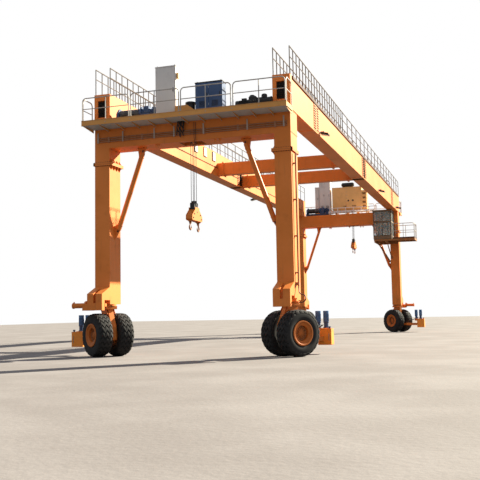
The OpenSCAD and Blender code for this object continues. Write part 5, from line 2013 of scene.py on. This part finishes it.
@dataclass
class Steering:
    """Collars, caps, lugs and bolts of the steering cylinders; the other two legs have a short cap."""

    bore: float = 0.19
    reach: float = 0.56

    def _short(self) -> tuple[Shape, Shape]:
        """The cap with its bolts on a leg without an outer cylinder.

        Returns:
            The cap and its bolts.
        """
        x = S.leg_w / 2 + 0.11
        part = Shape().lathe([(0.068, 0), (0.064, 0.008), (0, 0.008)], 28, along_x((x + 0.01, 0, 0.01)))
        return part, Shape().bolt_circle((x, 0, 0.01), (1, 0, 0), 0.08, 8, 0.008, TAU / 16)

    def _long(self) -> tuple[Shape, Shape]:
        """Collars, end cap and lugs of an outer cylinder, and its bolts.

        Returns:
            The parts and the bolts.
        """
        x0, x1, r = S.leg_w / 2 + 0.27, S.leg_w / 2 + 0.27 + self.reach, self.bore / 2
        part, nut = Shape(), Shape()
        for x in (x0, x1 - 0.055):
            part.lathe([(r + 0.001, 0), (r + 0.018, 0.004), (r + 0.018, 0.046), (r + 0.001, 0.05)], 36,
                       along_x((x, 0, 0)))
        part.lathe([(0.075, 0), (0.07, 0.012), (0.0, 0.012)], 32, along_x((x1, 0, 0)))
        nut.bolt_circle((x0, 0, 0), (1, 0, 0), r + 0.055, 12, 0.012, TAU / 24)
        nut.bolt_circle((x1, 0, 0), (1, 0, 0), 0.05, 6, 0.007)
        for x in (x0 + 0.05, x1 - 0.05):
            part.block((x - 0.02, -0.02, r + 0.01), (x + 0.02, 0.02, r + 0.05), 0.004)
        return part, nut

    def build(self) -> None:
        """Makes the fittings on all four legs."""
        head, bolts = Shape(), Shape()
        for side, end in CORNERS:
            f = leg_frame(side, end) @ Matrix.Translation((0, S.leg_y + 0.20, S.foot_z - 0.04))
            part, nut = self._short() if side.value * end.value < 0 else self._long()
            head.put(part, f)
            bolts.put(nut, f)
        head.object("cylinder_collars", F.ORANGE)
        bolts.object("cylinder_bolts", F.FORGED)


@dataclass
class Hoses:
    """Two hoses that hang in a loop from the front right leg's side to its steering cylinder."""

    diameter: float = 0.030
    gap: float = 0.050
    route: tuple[tuple[float, float, float], ...] = (
        (0.090, 0.200, 2.480), (0.090, 0.200, 2.410), (0.100, 0.226, 2.342), (0.116, 0.262, 2.278),
        (0.142, 0.308, 2.224), (0.178, 0.360, 2.184), (0.226, 0.412, 2.160), (0.280, 0.462, 2.150),
        (0.334, 0.508, 2.146), (0.384, 0.552, 2.124), (0.422, 0.590, 2.074), (0.436, 0.618, 2.008),
        (0.420, 0.638, 1.944), (0.374, 0.648, 1.898), (0.312, 0.650, 1.880), (0.250, 0.650, 1.880),
        (0.200, 0.650, 1.880))

    def build(self) -> None:
        """Makes each hose as a tube along its route, in place of its solid."""
        for i, name in ((-0.5, "hose_a"), (0.5, "hose_b")):
            path = [(S.sx + S.leg_w / 2 + x, -S.sy - y - i * self.gap, z) for x, y, z in self.route]
            obj = Shape().pipe(path, self.diameter / 2, 16).object(f"cylinder_{name}", F.HOSE)
            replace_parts(obj, name)


@dataclass
class RearPipe:
    """Valve wheel, flange bolts and clamps on the pipe of the rear cross-beam."""

    valve: float = -0.98
    flanges: tuple[float, ...] = (-1.22, -0.74, 2.13)
    clamps: tuple[float, ...] = (-0.57, 0.53, 1.63)

    def build(self) -> None:
        """Makes the fittings in the rear portal's frame."""
        x, y, z = self.valve, S.leg_y - S.beam_d + 0.15, S.beam_top + 0.17
        small, bolts = Shape(), Shape()
        small.rod((x, y, z + 0.10), (x, y, z + 0.24), 0.016, 12)
        wheel = (x, y, z + 0.235)
        small.pipe(circle(wheel, 0.09, 24), 0.010, 8, True)
        for rim in circle(wheel, 0.09, 3):
            small.rod(wheel, rim, 0.007, 8)
        for x in self.flanges:
            for out in (-1, 1):
                bolts.bolt_circle((x + 0.02 * out, y, z), (out, 0, 0), 0.102, 8, 0.009, TAU / 16)
        for x in self.clamps:
            small.lathe(
                [(0.076, -0.03), (0.084, -0.03), (0.084, 0.03), (0.076, 0.03)], 32, along_x((x, y, z))
            )
        f = end_frame(End.REAR)
        small.object("pipe_valve", F.ZINC, frame=f)
        bolts.object("pipe_bolts", F.STEEL, frame=f)


def dress_kept_nodes() -> None:
    """Gives the solids that stay their finishes."""
    table = {
        "frame_paint": F.ORANGE, "deck_paint": F.DECK, "galvanised": F.ZINC, "conduit_steel": F.PIPE,
        "glass": F.GLASS, "hose_rubber": F.HOSE, "black_metal": F.BLACK, "tan_paint": F.TAN,
        "navy_paint": F.NAVY, "grey_paint": F.GREY, "pack_paint": F.BLUE, "rope_steel": F.ROPE,
        "hook_paint": F.HOOK, "tyre": F.TYRE, "rim_paint": F.RIM,
    }
    special = {
        "cab_frame": F.CAB, "cab_platform": F.PLATFORM, "cable_pipes": F.PIPE, "rear_pipe_rail": F.SILVER,
    }
    for obj in [o for o in bpy.data.objects if o.type == "MESH"]:
        for slot in obj.material_slots:
            key = slot.material.name.split(".")[0] if slot.material else ""
            finish = special.get(obj.name) or next((v for k, v in table.items() if k in key), None)
            if finish is not None:
                slot.material = finish.material()
    LOG.info("finishes set on the solids")


@dataclass
class Set:
    """Camera, sun, sky and floor of the photograph."""

    eye: tuple[float, float, float] = (10.613, -42.821, 1.535)
    yaw: float = 0.315
    pitch: float = 0.093
    roll: float = 0.018
    focal: float = 787.1
    photo_width: float = 480.0
    sensor: float = 36.0
    sun_energy: float = 15.0
    sun_size: float = 0.6
    sun_colour: tuple[float, float, float] = (1.0, 0.94, 0.76)
    sun_from: tuple[float, float, float] = (0.50, 0.62, 0.42)
    sky_colour: tuple[float, float, float] = (0.86, 0.92, 1.0)
    sky_strength: float = 0.55
    plain: tuple[float, float, float] = (90.0, -60.0, 140.0)

    def camera(self) -> None:
        """The fitted pinhole camera."""
        cam = bpy.data.cameras.new("photo_camera")
        cam.sensor_width = self.sensor
        cam.lens = self.focal * self.sensor / self.photo_width
        cam.clip_end = 400.0
        obj = bpy.data.objects.new("photo_camera", cam)
        c, s = math.cos(self.yaw), math.sin(self.yaw)
        right, ahead, up = Vector((c, s, 0)), Vector((-s, c, 0)), Vector((0, 0, 1))
        look = ahead * math.cos(self.pitch) + up * math.sin(self.pitch)
        top = up * math.cos(self.pitch) - ahead * math.sin(self.pitch)
        x = right * math.cos(self.roll) - top * math.sin(self.roll)
        y = right * math.sin(self.roll) + top * math.cos(self.roll)
        m = Matrix((x, y, -look)).transposed().to_4x4()
        m.translation = Vector(self.eye)
        obj.matrix_world = m
        bpy.context.scene.collection.objects.link(obj)
        bpy.context.scene.camera = obj

    def light(self) -> None:
        """Low sun from the right behind the crane; a pale sky."""
        sun = bpy.data.lights.new("sun", "SUN")
        sun.energy = self.sun_energy
        sun.angle = math.radians(self.sun_size)
        sun.color = self.sun_colour
        obj = bpy.data.objects.new("sun", sun)
        obj.rotation_euler = Vector(self.sun_from).to_track_quat("Z", "Y").to_euler()
        bpy.context.scene.collection.objects.link(obj)
        world = bpy.data.worlds.new("sky")
        world.use_nodes = True
        tree = world.node_tree
        back = next(n for n in tree.nodes if n.type == "BACKGROUND")
        path = tree.nodes.new("ShaderNodeLightPath")
        seen = tree.nodes.new("ShaderNodeBackground")
        seen.inputs["Color"].default_value = rgba(1.0, 1.0, 1.0)
        seen.inputs["Strength"].default_value = 1.0
        back.inputs["Color"].default_value = rgba(*self.sky_colour)
        back.inputs["Strength"].default_value = self.sky_strength
        mix = tree.nodes.new("ShaderNodeMixShader")
        out = next(n for n in tree.nodes if n.type == "OUTPUT_WORLD")
        tree.links.new(path.outputs["Is Camera Ray"], mix.inputs[0])
        tree.links.new(back.outputs[0], mix.inputs[1])
        tree.links.new(seen.outputs[0], mix.inputs[2])
        tree.links.new(mix.outputs[0], out.inputs["Surface"])
        bpy.context.scene.world = world
        bpy.context.scene.view_settings.view_transform = "Standard"

    def floor(self) -> None:
        """A sandy plain under the crane, staged so that it stays out of the part."""
        mesh = bpy.data.meshes.new("floor")
        x, y0, y1 = self.plain
        mesh.from_pydata([(-x, y0, 0), (x, y0, 0), (x, y1, 0), (-x, y1, 0)], [], [(0, 1, 2, 3)])
        g = Graph("sand")
        patch = g.noise(g.coords, 0.35, 5.0).step(0.35, 0.7)
        grain = g.noise(g.coords, 9.0, 6.0)
        tone = g.mix(patch, rgba(0.195, 0.172, 0.168), rgba(0.25, 0.225, 0.222))
        tone = g.mix(grain * 0.3, tone, rgba(0.130, 0.110, 0.100))
        path = g.tree.nodes.new("ShaderNodeLightPath")
        tone = g.mix(Sock(g, path.outputs["Is Camera Ray"]), rgba(0.090, 0.078, 0.074), tone)
        mesh.materials.append(g.output(Base_Color=tone, Roughness=0.95, Normal=g.bump(grain, 0.5, 0.02)))
        obj = bpy.data.objects.new("floor", mesh)
        bpy.context.scene.collection.objects.link(obj)


def main() -> None:
    """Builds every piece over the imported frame."""
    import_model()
    scene = Set()
    scene.camera()
    Hoses().build()
    dress_kept_nodes()
    for side, end in CORNERS:
        Wheels(side, end).build()
        PowerPack(side, end).build()
        Fork(side, end).build()
        Leg(side, end).build()
    for side in Side:
        Girder(side).build()
    for end in End:
        Winch(end).build()
        Hoist(end).build()
        Deck(end).build()
        CrossBeam(end).build()
        for outer in (False, True):
            Hook(end, outer).build()
    FrontMachines().build()
    low = S.plate_z
    y, top = S.leg_y + 0.06, S.machine_z
    for cabinet in (
        Cabinet("front_cabinet", "control_cabinet_front", End.FRONT, (-1.18, y, low), (0.81, 0.27, 1.93), 1,
                F.GREY, vents=False, side_box=True),
        Cabinet("rear_cabinet", "control_cabinets_rear", End.REAR, (-2.14, y, top), (0.86, 0.56, 2.33), 2,
                F.GREY),
        Cabinet("rear_box", "", End.REAR, (-2.46, y, top), (0.30, 0.40, 1.86), 1, F.GREY, vents=False),
        Cabinet("cooler", "cooler_cabinet", End.FRONT, (0.45, S.leg_y + 0.02, low), (1.04, 0.43, 1.13), 2,
                F.NAVY, roof=F.BLACK),
    ):
        cabinet.build()
    Generator().build()
    Cab().build()
    Lamps().build()
    Steering().build()
    RearPipe().build()
    scene.light()
    scene.floor()


if __name__ == "__main__":
    main()
